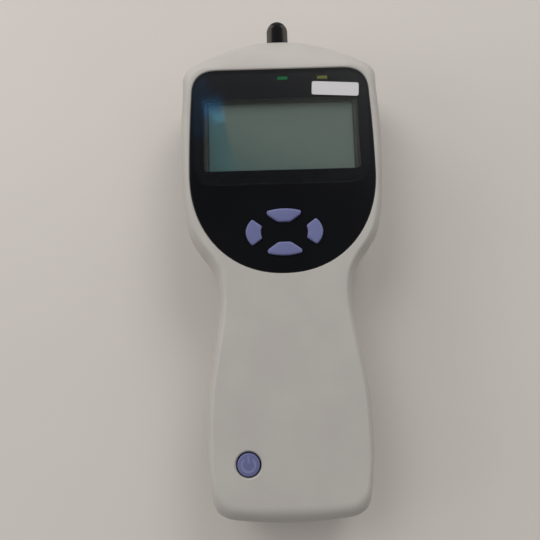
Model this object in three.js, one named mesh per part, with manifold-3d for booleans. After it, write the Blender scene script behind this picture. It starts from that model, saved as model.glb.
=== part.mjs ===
// Hand-held middle-ear pressure tester, lying on its back with its display up.
// Millimetres. X runs across the body, Y from the grip end to the probe, Z up.
// The origin is under the middle of the whole object, on the surface it lies on.

import * as THREE from 'three';
import { mergeVertices } from 'three/addons/utils/BufferGeometryUtils.js';
import Module from 'manifold-3d';

const wasm = await Module();
wasm.setup();

// Housing
const body_length = 190;
const head_width = 80;
const waist_width = 51;
const grip_width = 62;
const front_depth = 17.2;
const rear_depth = 22;
const wall = 2.2;
const seam = 0.3;

// Running and seating clearances, and how far a cutter passes what it cuts
const seat_gap = 0.3;
const slide_gap = 0.3;
const inlay_gap = 0.15;
const overrun = 5;

// Probe
const nose_reach = 9.2;
const nose_diameter = 8.8;
const nose_base_depth = 6.4;
const nose_bore_diameter = 7.4;
const nose_crown = 5.2;
const port_diameter = 1.7;
const collar_diameter = 14.6;
const collar_depth = 7;
const seal_width = 1.5;
const spigot_flange = 1.2;
const holder_diameter = 11;
const holder_length = 18;
const holder_bore_depth = 15.5;
const speaker_length = 3.6;
const microphone_length = 2.4;
const cradle_rib = 1.6;
const cradle_half_width = 9;
const cradle_inset = 3;

// Display panel and what is in it
const panel_thickness = 1.8;
const panel_sink = 0.2;
const panel_rim = 0.85;
const panel_corner = 9.8;
const panel_length = 79.45;
const tray_thickness = 1.9;
const tray_margin = 1.4;
const window_from_side = 5.45;
const window_from_top = 11.95;
const window_above_keys = 15.03;
const window_corner = 1.4;
const indicator_width = 4;
const indicator_height = 1.3;
const indicator_from_top = 3.75;
const green_indicator_x = 1.05;
const yellow_from_side = 18.55;
const led_width = 3;
const led_length = 1.4;
const led_height = 1;

// Protective film and its blank label
const film_thickness = 0.1;
const film_gap = 0.05;
const film_side = 1.6;
const film_length = 44;
const film_corner = 8.4;
const label_width = 18;
const label_height = 5.4;
const label_corner = 0.8;
const label_from_side = 13.75;
const label_from_top = 8.65;
const label_turn = THREE.MathUtils.degToRad(-3.5);

// Liquid crystal module
const lcd_side_margin = 1.8;
const lcd_frame_rise = 4.8;
const lcd_lip = 1.3;
const lcd_mask_side = 1.75;
const lcd_mask_top = 0.8;
const lcd_mask_bottom = -0.2;
const lcd_glass_inset = 0.9;
const lcd_glass_thickness = 2;

// Boards
const board_thickness = 1.6;
const display_board_inset = 3.2;
const main_board_rise = 2;
const main_board_grip_gap = 4.3;
const main_board_post_margin = 3;
const main_board_step_share = 0.56;
const main_board_top_gap = 3;
const main_board_end_gap = 0.8;
const chip_size = 14;
const chip_height = 1.4;
const connector_width = 20;
const connector_length = 5;

// Direction keys
const key_ring_width = 28.66;
const key_ring_height = 17.66;
const key_ring_from_bottom = 15.25;
const key_reach_top = 1;
const tall_key_half = 6.35;
const tall_key_end = 1.3;
const side_key_half = 4.95;
const key_inner_half = 2.3;
const tall_key_inset = 3.75;
const side_key_inset = 8.2;
const side_key_hollow = 0.5;
const hollow_shares = [0.5, 0, -0.5];
const key_corner = 0.7;
const key_bevel = 0.45;
const key_flange = 0.8;
const key_flange_thickness = 1.2;
const key_travel = 0.8;
const mat_margin = 1.2;
const mat_thickness = 1.1;

// Power key
const power_key_diameter = 7.9;
const power_hole_diameter = 9;
const power_hole_chamfer = 0.5;
const power_key_x = 15.1;
const power_key_from_end = 22.9;
const power_key_rise = 0.1;
const power_key_edge = 0.35;
const power_flange_diameter = 10.6;
const power_stem_diameter = 3;
const power_travel = 1;
const switch_size = 6;
const switch_body_height = 3.1;
const switch_plunger_height = 0.6;
const switch_plunger_diameter = 3;

// Battery bay, its cells and its cover
const cell_diameter = 14.2;
const cell_length = 49.2;
const cell_nub_diameter = 5.3;
const cell_nub_height = 1.2;
const cell_edge = 0.6;
const bay_end_inset = 8;
const bay_wall = 1.4;
const bay_ledge = 1.2;
const bay_side_wall = 2.2;
const contact_thickness = 0.4;
const contact_spring_length = 1.6;
const contact_spring_diameter = 6;
const contact_spring_tip = 4;
const cover_thickness = 2.2;
const cover_rail = 1;
const cover_rail_height = 1;
const cover_end_height = 9;
const fingertip_radius = 6;
const fingertip_width = 14;
const fingertip_depth = 1.6;
const thumb_rib_count = 5;
const thumb_rib_pitch = 2.4;
const thumb_rib_width = 1;
const thumb_rib_depth = 0.5;
const thumb_rib_length = 16;

// Housing screws
const screw_diameter = 2.5;
const screw_head_diameter = 5;
const screw_head_height = 1.8;
const screw_length = 24;
const screw_boss_diameter = 6.4;
const screw_recess = 4;
const screw_side_gap = 0.6;
const upper_screw_x = 24;
const upper_screw_from_top = 16.5;
const lower_screw_from_end = 13.5;
const post_diameter = 4.4;
const grip_post_x = 10;

// Air system
const motor_diameter = 13;
const motor_length = 15;
const motor_edge = 1;
const pump_head_length = 10;
const pump_head_height = 9;
const pump_head_width = 13;
const pump_from_bay = 2;
const port_length = 2;
const valve_diameter = 11;
const valve_length = 15;
const sensor_size = 10;
const sensor_height = 4.4;
const sensor_from_board_end = 4;
const tube_diameter = 2.6;
const tube_spacing = 5.2;
const tube_lead = 9;

// Counts that set how finely round things are drawn
const steps_per_row = 3;
const outer_levels = 8;
const inner_levels = 3;
const round_sides = 28;
const inner_sides = 14;
const cell_sides = 20;
const corner_steps = 3;
const oval_steps = 16;
const arc_steps = 4;
const dome_steps = 5;
const tube_sides = 8;
const tube_steps = 14;

// Places that follow from the sizes
const grip_end_y = -(body_length + nose_reach) / 2;
const probe_end_y = grip_end_y + body_length;
const nose_tip_y = probe_end_y + nose_reach;
const parting_z = rear_depth;
const axis_z = parting_z;
const face_z = rear_depth + front_depth;
const key_top_z = face_z - panel_sink + key_reach_top;

// Plan of the housing, right side, from the grip end to the probe end. Each row has the half
// width that it follows, then shares of that half width and of the length, across and along:
// the widest edge, the flat of the face and the flat of the back. The last value is the power
// of the face's rounded section, where 2 is an ellipse.
const grip_half = grip_width / 2;
const waist_half = waist_width / 2;
const head_half = head_width / 2;
const plan_shares = [
  [grip_half, 0, 0, 0, 0.047, 0, 0.05, 2.2],
  [grip_half, 0.499, 0.0045, 0.52, 0.0486, 0.403, 0.051, 2.2],
  [grip_half, 0.78, 0.0124, 0.7, 0.0536, 0.548, 0.059, 2.2],
  [grip_half, 0.891, 0.0271, 0.822, 0.0726, 0.645, 0.076, 2.2],
  [grip_half, 0.969, 0.0972, 0.866, 0.1046, 0.684, 0.108, 2.2],
  [grip_half, 1, 0.1626, 0.877, 0.1656, 0.697, 0.1686, 2],
  [grip_half, 0.977, 0.2476, 0.855, 0.2476, 0.674, 0.2476, 2],
  [grip_half, 0.903, 0.3266, 0.781, 0.3236, 0.603, 0.3206, 2],
  [waist_half, 1.016, 0.3946, 0.867, 0.3926, 0.647, 0.3896, 2],
  [waist_half, 1, 0.4426, 0.851, 0.4446, 0.627, 0.4446, 2],
  [waist_half, 1.043, 0.4736, 0.894, 0.4786, 0.675, 0.4846, 2],
  [head_half, 0.735, 0.5006, 0.645, 0.5096, 0.538, 0.5286, 2],
  [head_half, 0.83, 0.5276, 0.74, 0.5366, 0.64, 0.5576, 2],
  [head_half, 0.91, 0.5566, 0.81, 0.5646, 0.705, 0.5826, 2],
  [head_half, 0.96, 0.5996, 0.857, 0.6046, 0.733, 0.6146, 2],
  [head_half, 0.985, 0.6626, 0.882, 0.6646, 0.75, 0.6686, 2],
  [head_half, 1, 0.7686, 0.895, 0.7686, 0.763, 0.7686, 2],
  [head_half, 0.982, 0.8608, 0.875, 0.8476, 0.748, 0.8476, 1.9],
  [head_half, 0.971, 0.9173, 0.843, 0.8766, 0.713, 0.89, 1.7],
  [head_half, 0.84, 0.9419, 0.765, 0.8936, 0.65, 0.911, 1.5],
  [head_half, 0.646, 0.9678, 0.575, 0.8971, 0.538, 0.927, 1.45],
  [head_half, 0.298, 0.9931, 0.3, 0.8971, 0.3, 0.945, 1.45],
  [head_half, 0, 1, 0, 0.8971, 0, 0.95, 1.45],
];
const face_top_share = 0.8971;
const face_width_share = 0.895;
const face_wide_at_share = 0.676;

// Panel outline: the low end is part of a superellipse, the sides draw in a little
const panel_half = head_half * face_width_share - panel_rim;
const panel_top_y = grip_end_y + body_length * face_top_share - panel_rim;
const panel_bottom_y = panel_top_y - panel_length;
const panel_wide_y = grip_end_y + body_length * face_wide_at_share;
const panel_low_power = 2.14;
const panel_shoulder_share = 0.973;
const panel_low_steps = 12;

// Heights through the display stack, from the face down
const panel_top_z = face_z - panel_sink;
const panel_bottom_z = panel_top_z - panel_thickness;
const tray_top_z = panel_bottom_z - seat_gap;
const tray_bottom_z = tray_top_z - tray_thickness;
const lcd_top_z = panel_bottom_z - seat_gap;
const lcd_bottom_z = lcd_top_z - lcd_frame_rise;
const display_board_top_z = lcd_bottom_z - seat_gap;
const display_board_bottom_z = display_board_top_z - board_thickness;
const main_board_bottom_z = parting_z + main_board_rise;
const main_board_top_z = main_board_bottom_z + board_thickness;
const film_bottom_z = panel_top_z + film_gap;
const film_top_z = film_bottom_z + film_thickness;
const label_bottom_z = film_top_z + film_gap;

// Places across the panel
const keys_y = panel_bottom_y + key_ring_from_bottom;
const key_ring_a = key_ring_width / 2;
const key_ring_b = key_ring_height / 2;
const window_half = panel_half - window_from_side;
const window_top_y = panel_top_y - window_from_top;
const window_bottom_y = keys_y + key_ring_b + window_above_keys;
const window_mid_y = (window_top_y + window_bottom_y) / 2;
const indicator_y = panel_top_y - indicator_from_top;
const yellow_indicator_x = panel_half - yellow_from_side;
const key_flange_bottom_z = tray_top_z - key_flange_thickness;
const mat_bottom_z = display_board_top_z + seat_gap;
const mat_pad_top_z = key_flange_bottom_z - key_travel - seat_gap;
const power_key_y = grip_end_y + power_key_from_end;
const switch_bottom_z = main_board_top_z + seat_gap;
const switch_top_z = switch_bottom_z + switch_body_height + switch_plunger_height;

// Battery bay
const cell_radius = cell_diameter / 2;
const cell_x = cell_radius + seat_gap / 2;
const bay_half = cell_diameter + seat_gap * 2;
const bay_low_y = grip_end_y + bay_end_inset;
const cells_low_y = bay_low_y + contact_thickness + contact_spring_length + seat_gap * 3;
const cell_pitch = cell_length + cell_nub_height + seat_gap;
const bay_high_y = cells_low_y + cell_pitch * 2 + contact_thickness + contact_spring_length + seat_gap * 2;
const cell_z = cover_thickness + seat_gap + cell_radius;
const bay_roof_z = cell_z + cell_radius + seat_gap;
const bay_top_z = bay_roof_z + bay_wall;
const cover_half = bay_half + bay_ledge;
const bay_outer_half = cover_half + cover_rail + bay_side_wall;
const rail_bottom_z = cover_thickness - cover_rail_height;
const cover_high_y = bay_high_y + bay_ledge;

// Probe, from the tip back
const nose_radius = nose_diameter / 2;
const nose_base_y = probe_end_y - nose_base_depth;
const nose_bore_radius = nose_bore_diameter / 2;
const nose_bore_end_y = nose_tip_y - nose_crown;
const port_radius = port_diameter / 2;
const spigot_radius = nose_bore_radius - slide_gap;
const seal_high_y = nose_base_y - seat_gap;
const seal_low_y = seal_high_y - seal_width;
const flange_high_y = seal_low_y - seat_gap;
const flange_low_y = flange_high_y - spigot_flange;
const holder_high_y = flange_low_y - seat_gap;
const holder_low_y = holder_high_y - holder_length;
const holder_bore_y = holder_high_y - holder_bore_depth;
const holder_radius = holder_diameter / 2;
const holder_bore_radius = spigot_radius + seat_gap;
const speaker_low_y = holder_bore_y + seat_gap;
const microphone_low_y = speaker_low_y + speaker_length + seat_gap;
const spigot_low_y = microphone_low_y + microphone_length + seat_gap;
const spigot_high_y = nose_bore_end_y - seat_gap;
const collar_radius = collar_diameter / 2;
const collar_bore_radius = nose_radius + seat_gap * 2;
const flange_radius = collar_bore_radius - seat_gap;
const cradle_rows = [holder_high_y - cradle_inset - cradle_rib, holder_high_y - holder_length * 2 / 3];

// Screws and board posts
const lower_screw_x = bay_outer_half + screw_head_diameter / 2 + screw_side_gap;
const lower_screw_y = grip_end_y + lower_screw_from_end;
const upper_screw_y = probe_end_y - upper_screw_from_top;
const screw_places = [
  [upper_screw_x, upper_screw_y],
  [-upper_screw_x, upper_screw_y],
  [lower_screw_x, lower_screw_y],
  [-lower_screw_x, lower_screw_y],
];
const boss_radius = screw_boss_diameter / 2;
const main_board_low_y = lower_screw_y + boss_radius + main_board_end_gap;
const main_board_high_y = holder_low_y - main_board_top_gap;
const main_board_step_y = grip_end_y + body_length * main_board_step_share;
const main_board_grip_half = waist_half - wall - main_board_grip_gap;

// Air system
const motor_radius = motor_diameter / 2;
const pump_x = -(cradle_half_width + seat_gap + motor_radius);
const post_radius = post_diameter / 2;
const head_post_x = motor_radius - pump_x + seat_gap + post_radius;
const main_board_head_half = head_post_x + post_radius;
const floor_z = wall + seat_gap;
const pump_head_low_y = cover_high_y + bay_wall + pump_from_bay;
const pump_head_high_y = pump_head_low_y + pump_head_length;
const motor_low_y = pump_head_high_y + seat_gap;
const motor_high_y = motor_low_y + motor_length;
const motor_z = floor_z + motor_radius;
const pump_head_side_x = pump_x + pump_head_width / 2;
const sensor_x = -pump_x;
const sensor_y = main_board_high_y - sensor_from_board_end - sensor_size / 2;
const sensor_top_z = main_board_bottom_z - seat_gap;
const sensor_bottom_z = sensor_top_z - sensor_height;
const tube_radius = tube_diameter / 2;
const valve_radius = valve_diameter / 2;
const valve_z = floor_z + valve_radius;

// Materials
function finish(color, roughness, metalness = 0) {
  return new THREE.MeshStandardMaterial({ color, roughness, metalness });
}
const case_plastic = finish('#d2cfca', 0.5);
const panel_gloss = finish('#15161a', 0.15);
const clear_plastic = finish('#5a6462', 0.1);
const lcd_face = finish('#59635d', 0.3);
const dark_plastic = finish('#2b2c30', 0.5);
const key_plastic = finish('#8b8fc0', 0.4);
const power_plastic = finish('#7d7da8', 0.4);
const green_plastic = finish('#2f6a45', 0.3);
const yellow_plastic = finish('#8a8c3c', 0.3);
const label_paper = finish('#d8d6da', 0.6);
const nose_plastic = finish('#17171a', 0.25);
const soft_rubber = finish('#3a3a3c', 0.8);
const clear_tube = finish('#c9ced1', 0.3);
const board_green = finish('#1f5c3a', 0.5);
const chip_black = finish('#1b1b1c', 0.4);
const steel = finish('#a9abad', 0.3, 1);
const brass = finish('#b59a5a', 0.3, 1);
const cell_wrap = finish('#3d4a5c', 0.35);
const white_plastic = finish('#e2e2de', 0.5);

// Solids and shapes
function solid_of(geometry) {
  const bare = geometry.clone();
  bare.deleteAttribute('normal');
  bare.deleteAttribute('uv');
  const joined = mergeVertices(bare);
  const corners = joined.index.array;
  const kept = [];
  for (let i = 0; i < corners.length; i += 3) {
    const [a, b, c] = [corners[i], corners[i + 1], corners[i + 2]];
    if (a !== b && b !== c && c !== a) {
      kept.push(a, b, c);
    }
  }
  const vertProperties = new Float32Array(joined.attributes.position.array);
  return new wasm.Manifold(new wasm.Mesh({ numProp: 3, vertProperties, triVerts: new Uint32Array(kept) }));
}

function geometry_of(solid) {
  const mesh = solid.getMesh();
  const geometry = new THREE.BufferGeometry();
  geometry.setAttribute('position', new THREE.BufferAttribute(mesh.vertProperties, mesh.numProp));
  geometry.setIndex(new THREE.BufferAttribute(mesh.triVerts, 1));
  geometry.computeVertexNormals();
  return geometry;
}

function join(first, ...others) {
  return others.reduce((whole, other) => whole.add(other), first);
}

function cut(first, ...others) {
  return others.reduce((whole, other) => whole.subtract(other), first);
}

function block(x, y, z) {
  const geometry = new THREE.BoxGeometry(x[1] - x[0], y[1] - y[0], z[1] - z[0]);
  return geometry.translate((x[0] + x[1]) / 2, (y[0] + y[1]) / 2, (z[0] + z[1]) / 2);
}

function plate(shape, low_z, high_z) {
  const settings = { depth: high_z - low_z, bevelEnabled: false, curveSegments: corner_steps };
  return new THREE.ExtrudeGeometry(shape, settings).translate(0, 0, low_z);
}

function upright_rod(x, y, radius, low_z, high_z, sides = inner_sides) {
  const geometry = new THREE.CylinderGeometry(radius, radius, high_z - low_z, sides);
  return geometry.rotateX(Math.PI / 2).translate(x, y, (low_z + high_z) / 2);
}

function long_rod(x, z, radius, low_y, high_y, sides = round_sides) {
  const geometry = new THREE.CylinderGeometry(radius, radius, high_y - low_y, sides);
  return geometry.translate(x, (low_y + high_y) / 2, z);
}

function turned(profile, sides = round_sides) {
  const points = profile.map(([radius, height]) => new THREE.Vector2(radius, height));
  return new THREE.LatheGeometry(points, sides);
}

function turned_upright(profile, x, y, sides = round_sides) {
  return turned(profile, sides).rotateX(Math.PI / 2).translate(x, y, 0);
}

// A polygon whose corners are rounded, except those that are marked sharp. A rounded corner
// takes at most a fixed share of the edges beside it.
const corner_share = 0.45;

function rounded_shape(corners, radius) {
  const shape = new THREE.Shape();
  const count = corners.length;
  for (let i = 0; i < count; i += 1) {
    const [x, y, sharp] = corners[i];
    const here = new THREE.Vector2(x, y);
    const before = new THREE.Vector2(...corners[(i + count - 1) % count]);
    const after = new THREE.Vector2(...corners[(i + 1) % count]);
    const entry_reach = sharp ? 0 : Math.min(radius, here.distanceTo(before) * corner_share);
    const exit_reach = sharp ? 0 : Math.min(radius, here.distanceTo(after) * corner_share);
    const entry = here.clone().add(before.sub(here).setLength(entry_reach));
    const exit = here.clone().add(after.sub(here).setLength(exit_reach));
    if (i === 0) {
      shape.moveTo(entry.x, entry.y);
    } else {
      shape.lineTo(entry.x, entry.y);
    }
    if (!sharp) {
      shape.quadraticCurveTo(here.x, here.y, exit.x, exit.y);
    }
  }
  shape.closePath();
  return shape;
}

function rounded_box_shape(x, y, radius) {
  const corners = [[x[0], y[0]], [x[1], y[0]], [x[1], y[1]], [x[0], y[1]]];
  return rounded_shape(corners, radius);
}

function oval_shape(centre_y, half_x, half_y) {
  const points = [];
  for (let step = 0; step < oval_steps; step += 1) {
    const turn = (step / oval_steps) * Math.PI * 2;
    points.push(new THREE.Vector2(half_x * Math.cos(turn), centre_y + half_y * Math.sin(turn)));
  }
  return new THREE.Shape(points);
}

// The plan lines of the housing, all round, with a matching count of points
function plan_line(across, along) {
  const right = plan_shares.map((row) => {
    return new THREE.Vector3(row[0] * row[across], grip_end_y + body_length * row[along], 0);
  });
  const left = right.slice(1, -1).reverse().map((point) => new THREE.Vector3(-point.x, point.y, 0));
  const rows = [...right, ...left];
  const curve = new THREE.CatmullRomCurve3(rows, true, 'centripetal');
  const count = rows.length * steps_per_row;
  const points = [];
  for (let i = 0; i < count; i += 1) {
    points.push(curve.getPoint(i / count));
  }
  return points;
}

function plan_powers() {
  const right = plan_shares.map((row) => row[7]);
  const rows = [...right, ...right.slice(1, -1).reverse()];
  const powers = [];
  for (let i = 0; i < rows.length; i += 1) {
    const next = rows[(i + 1) % rows.length];
    for (let step = 0; step < steps_per_row; step += 1) {
      powers.push(THREE.MathUtils.lerp(rows[i], next, step / steps_per_row));
    }
  }
  return powers;
}

function drawn_in(line, inset) {
  return line.map((point, i) => {
    const before = line[(i + line.length - 1) % line.length];
    const after = line[(i + 1) % line.length];
    const along = after.clone().sub(before).normalize();
    return new THREE.Vector3(point.x - along.y * inset, point.y + along.x * inset, 0);
  });
}

const edge_line = plan_line(1, 2);
const face_line = plan_line(3, 4);
const back_line = plan_line(5, 6);
const face_powers = plan_powers();
const back_powers = face_powers.map(() => 2);

// A solid through rings of points, lowest ring first
function loft(rings) {
  const count = rings[0].length;
  const places = rings.flat().flatMap((point) => [point.x, point.y, point.z]);
  const faces = [];
  for (let level = 0; level + 1 < rings.length; level += 1) {
    for (let i = 0; i < count; i += 1) {
      const next = (i + 1) % count;
      const low = level * count;
      const high = low + count;
      faces.push(low + i, low + next, high + next, low + i, high + next, high + i);
    }
  }
  const top = (rings.length - 1) * count;
  const flat_top = rings[rings.length - 1].map((point) => new THREE.Vector2(point.x, point.y));
  const flat_bottom = rings[0].map((point) => new THREE.Vector2(point.x, point.y));
  for (const [a, b, c] of THREE.ShapeUtils.triangulateShape(flat_top, [])) {
    faces.push(top + a, top + b, top + c);
  }
  for (const [a, b, c] of THREE.ShapeUtils.triangulateShape(flat_bottom, [])) {
    faces.push(a, c, b);
  }
  const geometry = new THREE.BufferGeometry();
  geometry.setAttribute('position', new THREE.Float32BufferAttribute(places, 3));
  geometry.setIndex(faces);
  return geometry;
}

function ring_of(shape, z) {
  const outline = shape.getPoints(corner_steps).slice(0, -1);
  return outline.map((point) => new THREE.Vector3(point.x, point.y, z));
}

// One ring between the edge line and the flat line, at a turn of its rounded section
function section_ring(edge, flat, powers, turn, base_z, height) {
  return edge.map((point, i) => {
    const out = Math.pow(Math.cos(turn), 2 / powers[i]);
    const up = Math.pow(Math.sin(turn), 2 / powers[i]);
    const place = flat[i].clone().lerp(point, out);
    return place.setZ(base_z + height * up);
  });
}

function half_form(flat, powers, inset, base_z, flat_z, start_z, levels) {
  const edge = drawn_in(edge_line, inset);
  const flat_in = drawn_in(flat, inset);
  const rings = [];
  if (start_z !== base_z) {
    rings.push(section_ring(edge, flat_in, powers, 0, start_z, 0));
  }
  for (let level = 0; level <= levels; level += 1) {
    const turn = (level / levels) * Math.PI / 2;
    rings.push(section_ring(edge, flat_in, powers, turn, base_z, flat_z - base_z));
  }
  if (flat_z < base_z) {
    rings.reverse();
  }
  return solid_of(loft(rings));
}

const front_low_z = parting_z + seam / 2;
const rear_high_z = parting_z - seam / 2;

function front_form() {
  return half_form(face_line, face_powers, 0, front_low_z, face_z, front_low_z, outer_levels);
}

function front_hollow() {
  const start_z = front_low_z - overrun;
  return half_form(face_line, face_powers, wall, front_low_z, face_z - wall, start_z, inner_levels);
}

function rear_form() {
  return half_form(back_line, back_powers, 0, rear_high_z, 0, rear_high_z, outer_levels);
}

function rear_hollow() {
  const start_z = rear_high_z + overrun;
  return half_form(back_line, back_powers, wall, rear_high_z, wall, start_z, inner_levels);
}

// The panel outline, drawn in by an inset
function panel_shape(inset) {
  const half = panel_half - inset;
  const top_y = panel_top_y - inset;
  const low_reach = panel_wide_y - panel_bottom_y - inset;
  const corner = Math.max(panel_corner - inset, 0);
  const shoulder = panel_half * panel_shoulder_share - inset;
  const right = [];
  for (let step = 0; step <= panel_low_steps; step += 1) {
    const turn = (step / panel_low_steps) * Math.PI / 2;
    const x = half * Math.pow(Math.sin(turn), 2 / panel_low_power);
    const y = panel_wide_y - low_reach * Math.pow(Math.cos(turn), 2 / panel_low_power);
    right.push([x, y]);
  }
  const shape = new THREE.Shape();
  shape.moveTo(...right[0]);
  right.slice(1).forEach((point) => shape.lineTo(...point));
  shape.quadraticCurveTo(half, (panel_wide_y + top_y - corner) / 2, shoulder, top_y - corner);
  shape.quadraticCurveTo(shoulder, top_y, shoulder - corner, top_y);
  shape.lineTo(corner - shoulder, top_y);
  shape.quadraticCurveTo(-shoulder, top_y, -shoulder, top_y - corner);
  shape.quadraticCurveTo(-half, (panel_wide_y + top_y - corner) / 2, -half, panel_wide_y);
  right.slice(1, -1).reverse().forEach(([x, y]) => shape.lineTo(-x, y));
  shape.closePath();
  return shape;
}

function window_shape(grow) {
  const half = window_half + grow;
  const y = [window_bottom_y - grow, window_top_y + grow];
  return rounded_box_shape([-half, half], y, window_corner + grow);
}

function indicator_block(x, grow, low_z, high_z) {
  const across = [x - indicator_width / 2 - grow, x + indicator_width / 2 + grow];
  const along = [indicator_y - indicator_height / 2 - grow, indicator_y + indicator_height / 2 + grow];
  return block(across, along, [low_z, high_z]);
}

// Direction keys lie on an oval ring: two above and below, two at the sides
function tall_key_shape(side, grow) {
  const a = key_ring_a + grow;
  const b = key_ring_b + grow;
  const half = tall_key_half + grow;
  const inner_half = key_inner_half + grow;
  const inner_y = keys_y + side * (tall_key_inset - grow);
  const arc_y = (x) => keys_y + side * b * Math.sqrt(1 - (x / a) ** 2);
  const end_y = arc_y(half) - side * (tall_key_end + grow);
  const corners = [[-half, end_y], [-inner_half, inner_y], [inner_half, inner_y], [half, end_y]];
  for (let step = 0; step <= arc_steps; step += 1) {
    const x = half * (1 - 2 * step / arc_steps);
    const on_arc = step > 0 && step < arc_steps;
    corners.push([x, arc_y(x), on_arc]);
  }
  return rounded_shape(side > 0 ? corners : corners.reverse(), key_corner);
}

function side_key_shape(side, grow) {
  const a = key_ring_a + grow;
  const b = key_ring_b + grow;
  const half = side_key_half + grow;
  const inner_half = key_inner_half + grow;
  const inner_x = side * (side_key_inset - grow);
  const hollows = hollow_shares.map((share) => {
    return [inner_x + side * side_key_hollow * (1 - share ** 2), keys_y + inner_half * share, true];
  });
  const corners = [[inner_x, keys_y + inner_half], ...hollows, [inner_x, keys_y - inner_half]];
  for (let step = 0; step <= arc_steps; step += 1) {
    const y = half * (2 * step / arc_steps - 1);
    const on_arc = step > 0 && step < arc_steps;
    corners.push([side * a * Math.sqrt(1 - (y / b) ** 2), keys_y + y, on_arc]);
  }
  return rounded_shape(side > 0 ? corners : corners.reverse(), key_corner);
}

const key_outlines = {
  up_key: (grow) => tall_key_shape(1, grow),
  down_key: (grow) => tall_key_shape(-1, grow),
  left_key: (grow) => side_key_shape(-1, grow),
  right_key: (grow) => side_key_shape(1, grow),
};

// Half of the collar round the probe, above or below the parting plane
function collar_half(low_z, high_z) {
  const collar = long_rod(0, axis_z, collar_radius, probe_end_y - collar_depth, probe_end_y);
  const across = [-collar_radius, collar_radius];
  const keep = block(across, [probe_end_y - collar_depth, probe_end_y], [low_z, high_z]);
  return solid_of(collar).intersect(solid_of(keep));
}

function cradle_ribs(low_z, high_z) {
  const across = [-cradle_half_width, cradle_half_width];
  return cradle_rows.map((y) => solid_of(block(across, [y, y + cradle_rib], [low_z, high_z])));
}

function probe_clearance() {
  const bore = long_rod(0, axis_z, collar_bore_radius, flange_low_y, nose_tip_y);
  const seat_radius = holder_radius + seat_gap;
  const seat = long_rod(0, axis_z, seat_radius, holder_low_y - seat_gap, holder_high_y + seat_gap);
  return [solid_of(bore), solid_of(seat)];
}

function screw_holes(low_z, high_z, radius) {
  return screw_places.map(([x, y]) => solid_of(upright_rod(x, y, radius, low_z, high_z)));
}

const screw_seat_z = screw_recess - seat_gap;
const screw_tip_z = screw_seat_z + screw_length;

function make_front_case() {
  const form = front_form();
  const shell = form.subtract(front_hollow());
  const tray = solid_of(plate(panel_shape(-tray_margin), tray_bottom_z, tray_top_z));
  const bosses = screw_places.map(([x, y]) => solid_of(upright_rod(x, y, boss_radius, front_low_z, face_z)));
  const display_posts = [-1, 1].flatMap((side) => [window_top_y, window_bottom_y].map((y) => {
    const x = side * (panel_half - display_board_inset - post_radius);
    return solid_of(upright_rod(x, y, post_radius, display_board_top_z + seat_gap, tray_top_z));
  }));
  const ribs = cradle_ribs(front_low_z, face_z);
  const collar = collar_half(front_low_z, face_z);
  const inside = join(tray, collar, ...bosses, ...display_posts, ...ribs).intersect(form);
  const body = join(shell, inside);
  const lcd_grow = lcd_side_margin + seat_gap;
  const lcd_half = window_half + lcd_grow;
  const lcd_along = [window_bottom_y - lcd_grow, window_top_y + lcd_grow];
  const indicator_from = green_indicator_x - indicator_width;
  const indicator_to = yellow_indicator_x + indicator_width;
  const indicator_along = [indicator_y - indicator_height, indicator_y + indicator_height];
  const key_hole = oval_shape(keys_y, key_ring_a + key_flange * 2, key_ring_b + key_flange * 2);
  const tray_z = [tray_bottom_z - overrun, tray_top_z + seat_gap];
  const hole_radius = power_hole_diameter / 2;
  const hole_z = [face_z - wall - overrun, face_z + overrun];
  const power_hole = upright_rod(-power_key_x, power_key_y, hole_radius, ...hole_z, round_sides);
  const chamfer = turned_upright([
    [0, face_z - power_hole_chamfer - hole_radius],
    [hole_radius + power_hole_chamfer + overrun, face_z + overrun],
    [0, face_z + overrun],
  ], -power_key_x, power_key_y);
  return cut(
    body,
    solid_of(plate(panel_shape(-inlay_gap), tray_top_z, face_z + overrun)),
    solid_of(block([-lcd_half, lcd_half], lcd_along, tray_z)),
    solid_of(block([indicator_from, indicator_to], indicator_along, tray_z)),
    solid_of(plate(key_hole, ...tray_z)),
    solid_of(power_hole),
    solid_of(chamfer),
    ...probe_clearance(),
    ...screw_holes(front_low_z - overrun, screw_tip_z + seat_gap, screw_diameter / 2 + seat_gap),
  );
}

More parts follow.
